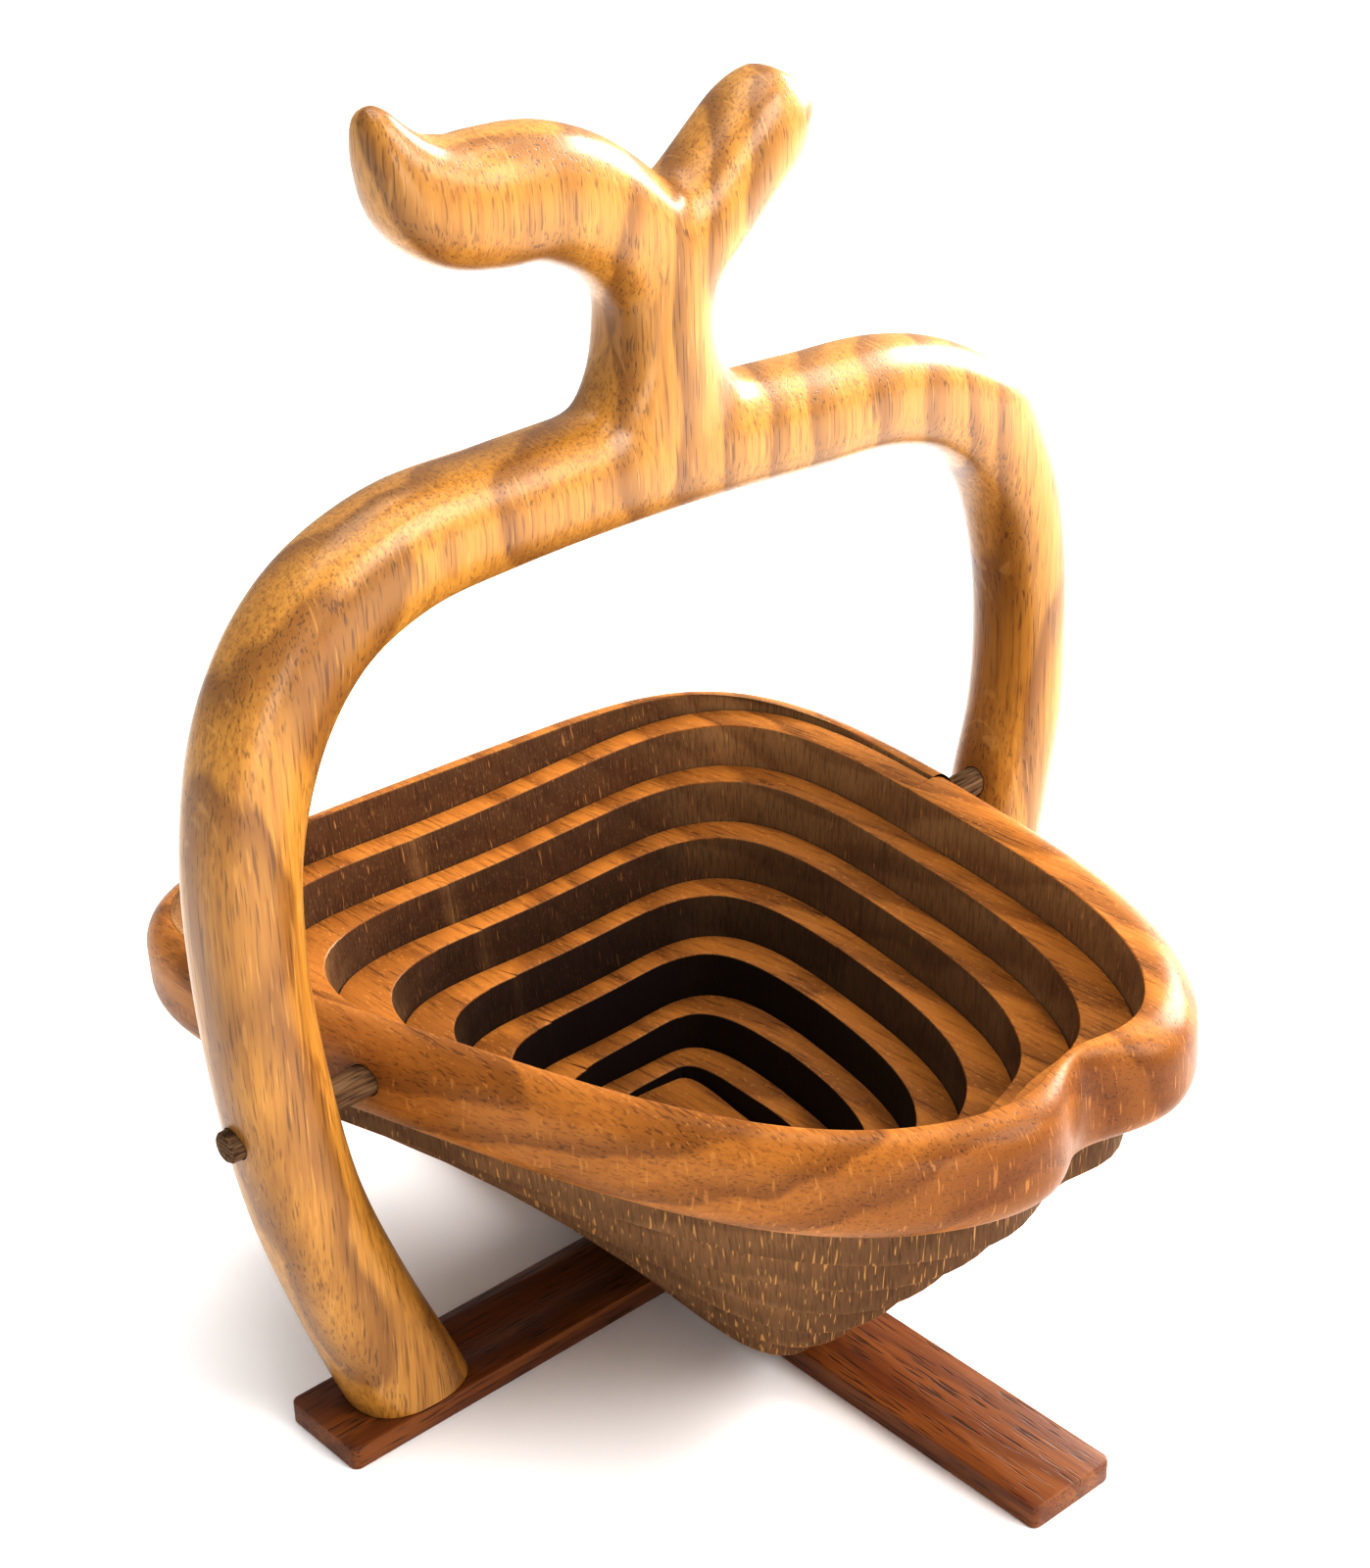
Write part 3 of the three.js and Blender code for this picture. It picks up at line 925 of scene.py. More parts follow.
    def in_board(self, place: np.ndarray) -> np.ndarray:
        """Turns places back into the tilted board's frame.

        Args:
            place: Places in the basket.

        Returns:
            The places in the board's frame.
        """
        cosine, sine = math.cos(self.tilt), math.sin(self.tilt)
        y, z = place[..., 1], place[..., 2] - self.pivot_height
        return np.stack([place[..., 0], y * cosine - z * sine, y * sine + z * cosine], axis=-1)

    def note_places(self, obj: bpy.types.Object, flat: np.ndarray) -> None:
        """Keeps the places in the flat board on a mesh, and how far its faces cut across the grain.

        Args:
            obj: The mesh object.
            flat: One place for each of its vertices.
        """
        attribute = obj.data.attributes.new(BOARD_PLACE, "FLOAT_VECTOR", "POINT")
        attribute.data.foreach_set("vector", np.asarray(flat, np.float32).ravel())
        across_grain = [abs(vertex.normal.y) for vertex in obj.data.vertices]
        attribute = obj.data.attributes.new(END_GRAIN, "FLOAT", "POINT")
        attribute.data.foreach_set("value", np.array(across_grain, np.float32))


@dataclass
class Spiral:
    """The turns of the spiral cut and the bottom panel inside them."""

    board: Board
    top: bpy.types.Material
    wall: bpy.types.Material
    outside: bpy.types.Material
    steps_per_turn: int = 150
    edge_across: float = 0.05
    edge_high: float = 0.016
    edge_bow: float = 0.3
    bottom_edge: float = 0.4 * MM
    inner_side: float = 0.01
    outer_side: float = 0.9
    # The turn from which the painted shade on the inner walls begins to grow.
    painted_shade_starts: float = 0.9
    tree: bpy.types.NodeTree = field(init=False)
    sockets: dict[str, str] = field(init=False, default_factory=dict)

    def make(self) -> None:
        """Makes the bottom and every turn, as a ramp that bends and a run that rides on its own body."""
        self.tree = self._tree()
        board = self.board
        ramp = board.ramp_end / FULL_CIRCLE
        for turn in range(1, board.full_turns + 2):
            last = turn > board.full_turns
            own = "bottom" if last else f"turn_{turn}"
            node = f"spiral_turn_{turn}"
            sloping = self._strip(f"turn_{turn}_ramp", turn, 0.0, ramp, sunk=False)
            above_swing = (turn - 1) * board.turn_swing
            start, end = board.in_basket(board.swung_down(self._ramp_line(turn), above_swing))
            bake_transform(sloping)
            run = self._strip(f"turn_{turn}_run", turn, ramp, 0.5 if last else 1.0, sunk=True)
            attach(run, own)
            for piece in (sloping, run):
                stand_for(piece, node)
        bottom = self._bottom()
        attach(bottom, "bottom")
        stand_for(bottom, "bottom_panel")

    def _ramp_line(self, turn: int) -> np.ndarray:
        """Gives the line along which a turn sinks.

        Args:
            turn: Which turn it is.

        Returns:
            The start and the end of its ramp in the flat board.
        """
        angles = np.array([0.0, self.board.ramp_end])
        radii = self.board.cut_radius(turn - 1 + angles / FULL_CIRCLE)
        return self.board.flat_place(angles, radii, np.zeros(2))

    def _strip(self, name: str, turn: int, first: float, last: float, sunk: bool) -> bpy.types.Object:
        """Bends a plank into a piece of a turn.

        Args:
            name: The piece's name.
            turn: Which turn it belongs to.
            first: Where it begins, as a share of the turn.
            last: Where it ends, as a share of the turn.
            sunk: Whether all of it lies at the turn's full depth.

        Returns:
            The piece, as plain mesh.
        """
        board = self.board
        made = self._plank(name, first, last)
        start, end = self._ramp_line(turn)
        line = end - start
        own_swing = board.last_swing if turn > board.full_turns else board.turn_swing
        values = {
            "Turn": float(turn),
            "Thickness": board.thickness,
            "Kerf": board.kerf,
            "Bevel": board.bevel,
            "Far Line": (0.0, board.far_line, 0.0),
            "Swing Above": (turn - 1) * board.turn_swing,
            "Own Swing": own_swing,
            "Sunk": float(sunk),
            "Ramp Start": tuple(map(float, start)),
            "Ramp Line": tuple(map(float, line / (line @ line))),
            "Tilt": -board.tilt,
            "Lift": (0.0, 0.0, board.pivot_height),
            "Top Finish": self.top,
            "Wall Finish": self.wall,
            "Outside Finish": self.outside,
        }
        step = made.modifiers.new("saw_and_sink", "NODES")
        step.node_group = self.tree
        for label, value in values.items():
            step[self.sockets[label]] = value
        make_plain(made)
        smooth_below(made, SHARP_SAWN)
        return made

    def _plank(self, name: str, first: float, last: float) -> bpy.types.Object:
        """Makes a straight plank, with X, Y and Z as shares of a turn, of the width and of the depth.

        Args:
            name: The object's name.
            first: Where the plank begins.
            last: Where it ends.

        Returns:
            The plank, with eased edges.
        """
        across, high, bow = self.edge_across, self.edge_high, self.edge_bow
        corner = [(0.0, high), (bow * across, bow * high), (across, 0.0)]
        section = [(y, 0.5 - z) for y, z in corner]
        section += [(1 - y, 0.5 - z) for y, z in reversed(corner)]
        section += [(1 - y, z - 0.5) for y, z in corner]
        section += [(y, z - 0.5) for y, z in reversed(corner)]
        steps = max(2, round((last - first) * self.steps_per_turn))
        points = [(first + (last - first) * s / steps, y, z) for s in range(steps + 1) for y, z in section]
        return mesh_object(name, np.array(points), ring_faces(steps + 1, len(section)))

    def _radius(
        self, tree: bpy.types.NodeTree, turns: bpy.types.NodeSocket, inset: bpy.types.NodeSocket
    ) -> bpy.types.NodeSocket:
        """Works out the saw cut's distance from the eye in nodes.

        Args:
            tree: The node tree.
            turns: Turns from where the cut begins.
            inset: How much further in it is asked for.

        Returns:
            The distance.
        """
        board = self.board
        kind = "ShaderNodeMath"
        angle = add_node(tree, kind, (turns, FULL_CIRCLE), operation="MULTIPLY")
        total: object = 0.0
        for side in board.cut_sides:
            facing = (turns, math.radians(side.swing), math.radians(side.faces))
            faces = add_node(tree, kind, facing, operation="MULTIPLY_ADD")
            turned = add_node(tree, kind, (angle, faces), operation="SUBTRACT")
            cosine = add_node(tree, kind, (turned,), operation="COSINE")
            ahead = add_node(tree, kind, (cosine, 0.0), operation="MAXIMUM")
            coming_in = (turns, -side.pitch, side.reach)
            reach = add_node(tree, kind, coming_in, operation="MULTIPLY_ADD")
            sawn = add_node(tree, kind, (reach, inset), operation="SUBTRACT")
            share = add_node(tree, kind, (ahead, sawn), operation="DIVIDE")
            raised = add_node(tree, kind, (share, board.cut_power), operation="POWER")
            total = add_node(tree, kind, (raised, total), operation="ADD")
        radius = add_node(tree, kind, (total, -1 / board.cut_power), operation="POWER")
        cosine = add_node(tree, kind, (angle,), operation="COSINE")
        from_middle = (radius, cosine, board.eye[0] - board.dimple_across)
        across = add_node(tree, kind, from_middle, operation="MULTIPLY_ADD")
        away = add_node(tree, kind, (across, board.dimple_half_width), operation="DIVIDE")
        square = add_node(tree, kind, (away, away), operation="MULTIPLY")
        minus = add_node(tree, kind, (square, -1.0), operation="MULTIPLY")
        bell = add_node(tree, kind, (minus,), operation="EXPONENT")
        later = add_node(tree, kind, (turns, board.dimple_lead), operation="ADD")
        left = add_node(tree, kind, (board.dimple_share, later), operation="POWER")
        sine = add_node(tree, kind, (angle,), operation="SINE")
        front = add_node(tree, kind, (sine, 0.0), operation="LESS_THAN")
        deep = add_node(tree, kind, (bell, left), operation="MULTIPLY")
        there = add_node(tree, kind, (deep, front), operation="MULTIPLY")
        dimple = (there, -board.dimple_depth, radius)
        return add_node(tree, kind, dimple, operation="MULTIPLY_ADD")

    def _tree(self) -> bpy.types.NodeTree:
        """Builds the tree that bends a plank along the spiral, leans its walls and sinks it.

        Returns:
            The node tree. The identifiers of its inputs are kept in sockets.
        """
        tree = bpy.data.node_groups.new("saw_and_sink", "GeometryNodeTree")
        kinds = {
            "Geometry": ("Plank",),
            "Float": ("Turn", "Thickness", "Kerf", "Bevel", "Swing Above", "Own Swing", "Sunk", "Tilt"),
            "Vector": ("Far Line", "Ramp Start", "Ramp Line", "Lift"),
            "Material": ("Top Finish", "Wall Finish", "Outside Finish"),
        }
        for kind, labels in kinds.items():
            for label in labels:
                made = tree.interface.new_socket(label, in_out="INPUT", socket_type=f"NodeSocket{kind}")
                self.sockets[label] = made.identifier
        tree.interface.new_socket("Turn of the Spiral", in_out="OUTPUT", socket_type="NodeSocketGeometry")
        given = add_node(tree, "NodeGroupInput").node.outputs
        place = add_node(tree, "GeometryNodeInputPosition")
        plank = add_node(tree, "ShaderNodeSeparateXYZ", (place,)).node.outputs
        inner = add_node(tree, "ShaderNodeMath", (plank[0], given["Turn"]), operation="ADD")
        flat = self._flat(tree, given, plank, inner)
        store = "GeometryNodeStoreNamedAttribute"
        noting = {"Geometry": given["Plank"], "Name": BOARD_PLACE, "Value": flat}
        noted = add_node(tree, store, noting, data_type="FLOAT_VECTOR", domain="POINT")
        # Stores the painted shade that darkens the deep inner walls.
        painting_depth_shade = {"Geometry": noted, "Name": PAINTED_DEPTH_SHADE, "Value": self._painted_depth_shade(tree, plank, inner)}
        painted_depth_shade = add_node(tree, store, painting_depth_shade, data_type="FLOAT", domain="POINT")
        kind, give = "ShaderNodeMath", "GeometryNodeSetMaterial"
        sawn = add_node(tree, give, {"Geometry": painted_depth_shade, "Material": given["Wall Finish"]})
        outermost = add_node(tree, kind, (plank[1], self.outer_side), operation="GREATER_THAN")
        drying = {"Geometry": sawn, "Selection": outermost, "Material": given["Outside Finish"]}
        dry = add_node(tree, give, drying)
        bending = {"Geometry": dry, "Position": self._sunk(tree, given, flat)}
        bent = add_node(tree, "GeometryNodeSetPosition", bending)
        normal = add_node(tree, "GeometryNodeInputNormal")
        facing = add_node(tree, "ShaderNodeSeparateXYZ", (normal,)).node.outputs
        across_grain = add_node(tree, kind, (facing[1],), operation="ABSOLUTE")
        marking = {"Geometry": bent, "Name": END_GRAIN, "Value": across_grain}
        marked = add_node(tree, store, marking, data_type="FLOAT", domain="POINT")
        real = add_node(tree, "GeometryNodeRealizeInstances", (marked,))
        level = add_node(tree, kind, (facing[2],), operation="ABSOLUTE")
        planed = add_node(tree, kind, (level, LEVEL_SHARE), operation="GREATER_THAN")
        finishing = {"Geometry": real, "Selection": planed, "Material": given["Top Finish"]}
        add_node(tree, "NodeGroupOutput", (add_node(tree, give, finishing),))
        return tree

    def _flat(
        self,
        tree: bpy.types.NodeTree,
        given: bpy.types.NodeOutputs,
        plank: bpy.types.NodeOutputs,
        inner: bpy.types.NodeSocket,
    ) -> bpy.types.NodeSocket:
        """Lays the plank along the spiral in the flat board, between two leaning walls.

        Args:
            tree: The node tree.
            given: The tree's named inputs.
            plank: The place in the plank, as X, Y and Z.
            inner: Turns from where the cut begins to the plank's inner side.

        Returns:
            The place in the flat board.
        """
        kind = "ShaderNodeMath"
        outer = add_node(tree, kind, (inner, 1.0), operation="SUBTRACT")
        height = add_node(tree, kind, (plank[2], given["Thickness"]), operation="MULTIPLY")
        half = add_node(tree, kind, (given["Thickness"], 0.5), operation="MULTIPLY")
        depth = add_node(tree, kind, (half, height), operation="SUBTRACT")
        lean = add_node(tree, kind, (depth, given["Bevel"]), operation="MULTIPLY")
        behind_saw = add_node(tree, kind, (lean, given["Kerf"]), operation="ADD")
        near = self._radius(tree, inner, lean)
        far = self._radius(tree, outer, behind_saw)
        width = add_node(tree, kind, (far, near), operation="SUBTRACT")
        radius = add_node(tree, kind, (width, plank[1], near), operation="MULTIPLY_ADD")
        angle = add_node(tree, kind, (plank[0], FULL_CIRCLE), operation="MULTIPLY")
        cosine = add_node(tree, kind, (angle,), operation="COSINE")
        sine = add_node(tree, kind, (angle,), operation="SINE")
        eye = self.board.eye
        x = add_node(tree, kind, (radius, cosine, eye[0]), operation="MULTIPLY_ADD")
        y = add_node(tree, kind, (radius, sine, eye[1]), operation="MULTIPLY_ADD")
        return add_node(tree, "ShaderNodeCombineXYZ", (x, y, height))

    def _painted_depth_shade(
        self, tree: bpy.types.NodeTree, plank: bpy.types.NodeOutputs, inner: bpy.types.NodeSocket
    ) -> bpy.types.NodeSocket:
        """Works out how much painted shade darkens the inner wall, which grows with the depth.

        Args:
            tree: The node tree.
            plank: The place in the plank, as X, Y and Z.
            inner: Turns from where the cut begins to the plank's inner side.

        Returns:
            The share of the painted shade, from 0 to 1.
        """
        inwards = add_node(tree, "ShaderNodeMath", (plank[1], self.inner_side), operation="LESS_THAN")
        depths = {"Value": inner, "From Min": self.painted_shade_starts, "From Max": self.board.full_turns - 1.0}
        deeper = add_node(tree, "ShaderNodeMapRange", depths)
        return add_node(tree, "ShaderNodeMath", (inwards, deeper), operation="MULTIPLY")

    def _sunk(
        self, tree: bpy.types.NodeTree, given: bpy.types.NodeOutputs, flat: bpy.types.NodeSocket
    ) -> bpy.types.NodeSocket:
        """Sinks a place along its ramp, and brings it into the basket.

        Args:
            tree: The node tree.
            given: The tree's named inputs.
            flat: The place in the flat board.

        Returns:
            The place in the basket.
        """
        kind, vector, turn = "ShaderNodeMath", "ShaderNodeVectorMath", "ShaderNodeVectorRotate"
        gone = add_node(tree, vector, (flat, given["Ramp Start"]), operation="SUBTRACT")
        along = (gone, given["Ramp Line"])
        share = add_node(tree, vector, along, output="Value", operation="DOT_PRODUCT")
        eased = add_node(tree, "ShaderNodeMapRange", {"Value": share}, interpolation_type="SMOOTHSTEP")
        down = add_node(tree, kind, (eased, given["Sunk"]), operation="MAXIMUM")
        swinging = (down, given["Own Swing"], given["Swing Above"])
        swing = add_node(tree, kind, swinging, operation="MULTIPLY_ADD")
        sinking = {"Vector": flat, "Center": given["Far Line"], "Angle": swing}
        sunk = add_node(tree, turn, sinking, rotation_type="X_AXIS")
        leaning = {"Vector": sunk, "Angle": given["Tilt"]}
        leant = add_node(tree, turn, leaning, rotation_type="X_AXIS")
        return add_node(tree, vector, (leant, given["Lift"]), operation="ADD")

    def _bottom(self) -> bpy.types.Object:
        """Makes what is left inside the last cut.

        Returns:
            The bottom panel.
        """
        board = self.board
        steps = self.steps_per_turn
        shares = np.arange(steps + 1) / steps
        halfway = steps // 2
        angles = np.concatenate([shares[: halfway + 1], shares[halfway:-1]]) * FULL_CIRCLE
        turns = board.full_turns + angles / FULL_CIRCLE
        turns[: halfway + 1] += 1
        low, high = -board.thickness / 2, board.thickness / 2
        edge, bow = self.bottom_edge, self.edge_bow
        rows = [(edge, low), (0, low + edge), (0, high - edge), (bow * edge, high - bow * edge), (edge, high)]
        flat = []
        for inset, height in rows:
            lean = (high - height) * board.bevel
            radii = board.cut_radius(turns, board.kerf + lean + inset)
            flat.append(board.flat_place(angles, radii, height))
        flat = np.concatenate(flat)
        faces = ring_faces(len(rows), len(angles))
        made = mesh_object("bottom", board.in_basket(board.swung_down(flat, board.tilt)), faces)
        point_out(made)
        board.note_places(made, flat)
        finish_by_slope(made, self.top, self.wall)
        smooth_below(made, SHARP_SAWN)
        return made


def finish_by_slope(
    obj: bpy.types.Object,
    top: bpy.types.Material,
    wall: bpy.types.Material,
    chosen: Callable[[bpy.types.MeshPolygon], bool] | None = None,
) -> None:
    """Gives the level faces one finish and the others another.

    Args:
        obj: The mesh object.
        top: The finish of what looks up or down.
        wall: The finish of the rest.
        chosen: Another test for the faces that get the first finish.
    """
    test = chosen or (lambda face: abs(face.normal.z) > LEVEL_SHARE)
    obj.data.materials.append(top)
    obj.data.materials.append(wall)
    for face in obj.data.polygons:
        face.material_index = 0 if test(face) else 1


def peg_places() -> list[float]:
    """Gives the places of the two pegs along the base bar."""
    boxes = [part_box(node) for node in ("left_leg_peg", "right_leg_peg")]
    return [(low.x + high.x) / 2 for low, high in boxes]


@dataclass
class Rim:
    """The rim: a bullnosed ring of the board round the spiral, with the dimple in its front."""

    board: Board
    varnished: bpy.types.Material
    sawn: bpy.types.Material
    bullnose: float = 9 * MM
    least_flat: float = 1.5 * MM
    bullnose_steps: int = 12
    steps: int = 420
    eased: float = 0.5 * MM
    edge_bow: float = 0.3
    merged: float = 0.001 * MM
    step_easing: float = math.radians(4)
    bores: tuple[tuple[float, float], ...] = ()

    def make(self) -> None:
        """Makes the rim with its two bores."""
        board = self.board
        outer = self._outer_profile()
        inner = self._inner_profile()
        count = len(outer) + len(inner)
        angles = FULL_CIRCLE * np.arange(self.steps + 1) / self.steps
        from_step = np.minimum(angles, FULL_CIRCLE - angles)
        easing = self.eased * np.clip(from_step / self.step_easing, 0, 1)
        flat = np.zeros((self.steps + 1, count, 3))
        wall = board.rim_radius(angles) - board.cut_radius(angles / FULL_CIRCLE)
        round_share = np.minimum(1, (wall - self.least_flat) / self.bullnose)
        for i, (inset, height) in enumerate(outer):
            flat[:, i] = board.flat_place(angles, board.rim_radius(angles, inset * round_share), height)
        half = board.thickness / 2
        for i, (back, down, top) in enumerate(inner, start=len(outer)):
            height = (half - down * easing) if top else (down * easing - half)
            lean = (half - height) * board.bevel
            radius = board.cut_radius(angles / FULL_CIRCLE, lean) + back * easing
            flat[:, i] = board.flat_place(angles, radius, height)
        faces = self._faces(len(outer), count)
        made = mesh_object("rim", board.in_basket(flat.reshape(-1, 3)), faces)
        with edited(made) as work:
            bmesh.ops.remove_doubles(work, verts=work.verts, dist=self.merged)
        point_out(made)
        self._bore(made)
        board.note_places(made, board.in_board(np.array([v.co for v in made.data.vertices])))
        self._dress(made)
        smooth_below(made, SHARP_SAWN)
        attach(made, "rim")
        stand_for(made, "basket_rim")

    def _outer_profile(self) -> list[tuple[float, float]]:
        """Gives the outer side of a section.

        Returns:
            Rows of inset and height, from the underside to the top.
        """
        half = self.board.thickness / 2
        curve = []
        for step in range(self.bullnose_steps + 1):
            turn = math.pi / 2 * step / self.bullnose_steps
            inset, sunk = self.bullnose * (1 - math.sin(turn)), self.bullnose * (1 - math.cos(turn))
            curve.append((inset, half - sunk))
        return [(inset, -height) for inset, height in curve] + curve[::-1]

    def _inner_profile(self) -> list[tuple[float, float, bool]]:
        """Gives the saw's side of a section: back and down as shares of the easing, and if at the top."""
        corner = [(1.0, 0.0), (self.edge_bow, self.edge_bow), (0.0, 1.0)]
        return [(*row, True) for row in corner] + [(*row, False) for row in reversed(corner)]

    def _faces(self, outer: int, count: int) -> list[list[int]]:
        """Joins the sections. At the right pivot the ring closes, with a step where the cut begins.

        Args:
            outer: How many points of a section lie on the outer side.
            count: How many points a section has.

        Returns:
            The faces.
        """
        last = self.steps * count
        faces = []
        for step in range(self.steps):
            here, there = step * count, (step + 1) * count
            for i in range(count):
                j = (i + 1) % count
                face = [here + i, here + j, there + j, there + i]
                if there == last and i == outer - 1:
                    face.insert(3, j)
                if there == last and j == 0:
                    face.insert(3, i)
                faces.append(face)
        faces.append([*range(outer, count), *range(last + count - 1, last + outer - 1, -1)])
        return faces

    def _bore(self, made: bpy.types.Object) -> None:
        """Drills the blind bores for the dowels.

        Args:
            made: The whole rim.
        """
        at = self.board.pivot_height
        holes = [((start, 0, at), (end, 0, at), DOWEL_BORE_RADIUS) for start, end in self.bores]
        cut_away(made, [drilled(*hole) for hole in holes])

    def _dress(self, made: bpy.types.Object) -> None:
        """Varnishes the outside and leaves the saw's wall bare.

        Args:
            made: The bored rim.
        """
        board = self.board
        flat = {}
        for face in made.data.polygons:
            place = board.in_board(np.array(face.center))
            offset = place[:2] - np.array(board.eye)
            angle = math.atan2(offset[1], offset[0]) % FULL_CIRCLE
            lean = (board.thickness / 2 - place[2]) * board.bevel
            inner = float(board.cut_radius(angle / FULL_CIRCLE, lean))
            flat[face.index] = math.hypot(*offset) > inner + self.edge_bow * self.eased
        finish_by_slope(made, self.varnished, self.sawn, lambda face: flat[face.index])


@dataclass
class Handle:
    """The handle: a round-edged arch with a neck, a stem and a leaf on it, sawn level under both feet."""

    finish: bpy.types.Material
    board: Board
    rise: float = 211.9 * MM
    band_half_width: float = 12.7 * MM
    band_power: float = 2.4
    crest_height: float = 88 * MM
    foot_level: float = 6.4 * MM
    voxel: float = 1.1 * MM
    section_sides: int = 40
    steps_per_row: int = 8
    relax_rounds: int = 60
    even_rounds: int = 8
    relax_share: float = 0.5
    melt_reach: float = 1.4
    melt_places: tuple[tuple[float, float, float], ...] = ((0.03, 0.5, 26 * MM), (0, 0.08, 30 * MM))
    bore_from: float = 90 * MM
    bore_to: float = 140 * MM
    peg_top: float = 22.4 * MM
    arch_rows: tuple[tuple[float, float, float], ...] = (
        (-0.73, 0, 1.12),
        (-0.832, 0.151, 1.04),
        (-0.915, 0.302, 0.97),
        (-0.957, 0.443, 0.95),
        (-0.98, 0.608, 0.92),
        (-0.966, 0.75, 0.96),
        (-0.895, 0.872, 1.08),
        (-0.775, 0.952, 1.13),
        (-0.602, 0.993, 1.11),
        (-0.375, 1, 1.04),
        (-0.125, 1, 1.06),
        (0.125, 0.993, 1.05),
        (0.375, 0.981, 1.03),
        (0.567, 0.972, 1.03),
        (0.733, 0.943, 1.03),
        (0.862, 0.89, 1.02),
        (0.947, 0.81, 0.92),
        (0.993, 0.703, 0.82),
        (1.005, 0.594, 0.76),
        (0.995, 0.49, 0.8),
        (0.96, 0.405, 0.87),
        (0.918, 0.302, 0.94),
        (0.84, 0.151, 1.04),
        (0.747, 0, 1.12),
    )
    neck_rows: tuple[tuple[float, float, float, float], ...] = (
        (0, -0.03, 2.05, 0.9),
        (0, 0.1, 1.9, 0.95),
        (0, 0.165, 1.5, 1),
        (0, 0.24, 1.17, 1),
        (0, 0.33, 1.02, 1),
        (0.01, 0.42, 1.05, 1),
        (0.02, 0.5, 1.18, 1),
        (0.02, 0.575, 1.15, 0.97),
    )
    stem_rows: tuple[tuple[float, float, float, float], ...] = (
        (0.03, 0.46, 0.85, 0.95),
        (0.1, 0.54, 0.95, 1),
        (0.2, 0.62, 0.95, 0.97),
        (0.29, 0.695, 0.95, 0.93),
        (0.362, 0.752, 0.94, 0.88),
        (0.412, 0.796, 0.82, 0.76),
        (0.45, 0.83, 0.56, 0.52),
        (0.464, 0.845, 0.18, 0.17),
    )
    leaf_rows: tuple[tuple[float, float, float, float], ...] = (
        (0, 0.49, 1.1, 0.95),
        (-0.11, 0.61, 1.08, 1),
        (-0.23, 0.695, 1.12, 1),
        (-0.355, 0.745, 1.13, 1),
        (-0.48, 0.757, 1.13, 1),
        (-0.595, 0.776, 1.05, 0.97),
        (-0.685, 0.832, 0.9, 0.88),
        (-0.745, 0.907, 0.6, 0.72),
        (-0.78, 0.975, 0.38, 0.52),
        (-0.795, 1.02, 0.24, 0.32),
        (-0.8, 1.04, 0.08, 0.1),
    )

    @property
    def crest(self) -> float:
        """How high the arch's middle line passes under the neck."""
        return BAR_THICKNESS + self.rise

    def make(self) -> None:
        """Makes the handle: its bands are joined, melted into each other, sawn level and bored."""
        parts = [self._arch()]
        for rows in (self.neck_rows, self.stem_rows, self.leaf_rows):
            line = [(x * self.crest_height, self.crest + z * self.crest_height) for x, z, *_ in rows]
            widths = [row[2] * self.band_half_width for row in rows]
            depths = [row[3] * self.board.thickness / 2 for row in rows]
            parts.append(self._band(line, widths, depths))
        points = np.concatenate([part[0] for part in parts])
        faces, start = [], 0
        for part_points, part_faces in parts:
            faces += [[i + start for i in face] for face in part_faces]
            start += len(part_points)
        made = mesh_object("handle", points, faces)
        point_out(made)
        step = made.modifiers.new("melt", "REMESH")
        step.mode = "VOXEL"
        step.voxel_size = self.voxel
        make_plain(made)
        self._relax(made)
        self._saw_feet(made)
        self._bore(made)
        dress(made, self.finish)
        smooth_below(made, SHARP_ROUND)
        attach(made, "handle")
        stand_for(made, "handle_frame")

    def _arch(self) -> tuple[np.ndarray, list[list[int]]]:
        """Makes the arch, which runs on below its feet.

        Returns:
            Its vertices and faces.
        """
        line = np.array([(x * HALF_SPAN, BAR_THICKNESS + z * self.rise) for x, z, _ in self.arch_rows])
        widths = [row[2] * self.band_half_width for row in self.arch_rows]
        lead = []
        for end, inner in ((line[0], line[1]), (line[-1], line[-2])):
            run = end - inner
            lead.append(end + run / np.linalg.norm(run) * self.band_half_width)
        longer = np.vstack([lead[0], line, lead[1]])
        depths = [self.board.thickness / 2] * len(longer)
        return self._band(longer, [widths[0], *widths, widths[-1]], depths)

    def _band(
        self, line: Sequence[tuple[float, float]], half_widths: Sequence[float], half_depths: Sequence[float]
    ) -> tuple[np.ndarray, list[list[int]]]:
        """Sweeps a round-edged section along a line in the XZ plane.

        Args:
            line: Points of the line as X and Z.
            half_widths: The section's half width at each point.
            half_depths: Its half depth at each point.

        Returns:
            Vertices and faces of the closed band.
        """
        line = np.asarray(line, float)
        chord = np.sqrt(np.linalg.norm(np.diff(line, axis=0), axis=1))
        knots = np.concatenate([[0], np.cumsum(chord)])
        steps = (len(line) - 1) * self.steps_per_row
        at = np.interp(np.arange(steps + 1) / self.steps_per_row, np.arange(len(line)), knots)
        values = np.column_stack([line, half_widths, half_depths])
        slopes = np.gradient(values, knots, axis=0, edge_order=1)
        cell = np.clip(np.searchsorted(knots, at, side="right") - 1, 0, len(line) - 2)
        width = (knots[cell + 1] - knots[cell])[:, None]
        t = ((at - knots[cell]) / width[:, 0])[:, None]
        smooth = (
            values[cell] * (1 + 2 * t) * (1 - t) ** 2
            + slopes[cell] * width * t * (1 - t) ** 2
            + values[cell + 1] * t**2 * (3 - 2 * t)
            + slopes[cell + 1] * width * t**2 * (t - 1)
        )
        tangent = np.gradient(smooth[:, :2], axis=0)
        tangent /= np.linalg.norm(tangent, axis=1)[:, None]
        angle = FULL_CIRCLE * np.arange(self.section_sides) / self.section_sides
        softer = 2 / self.band_power
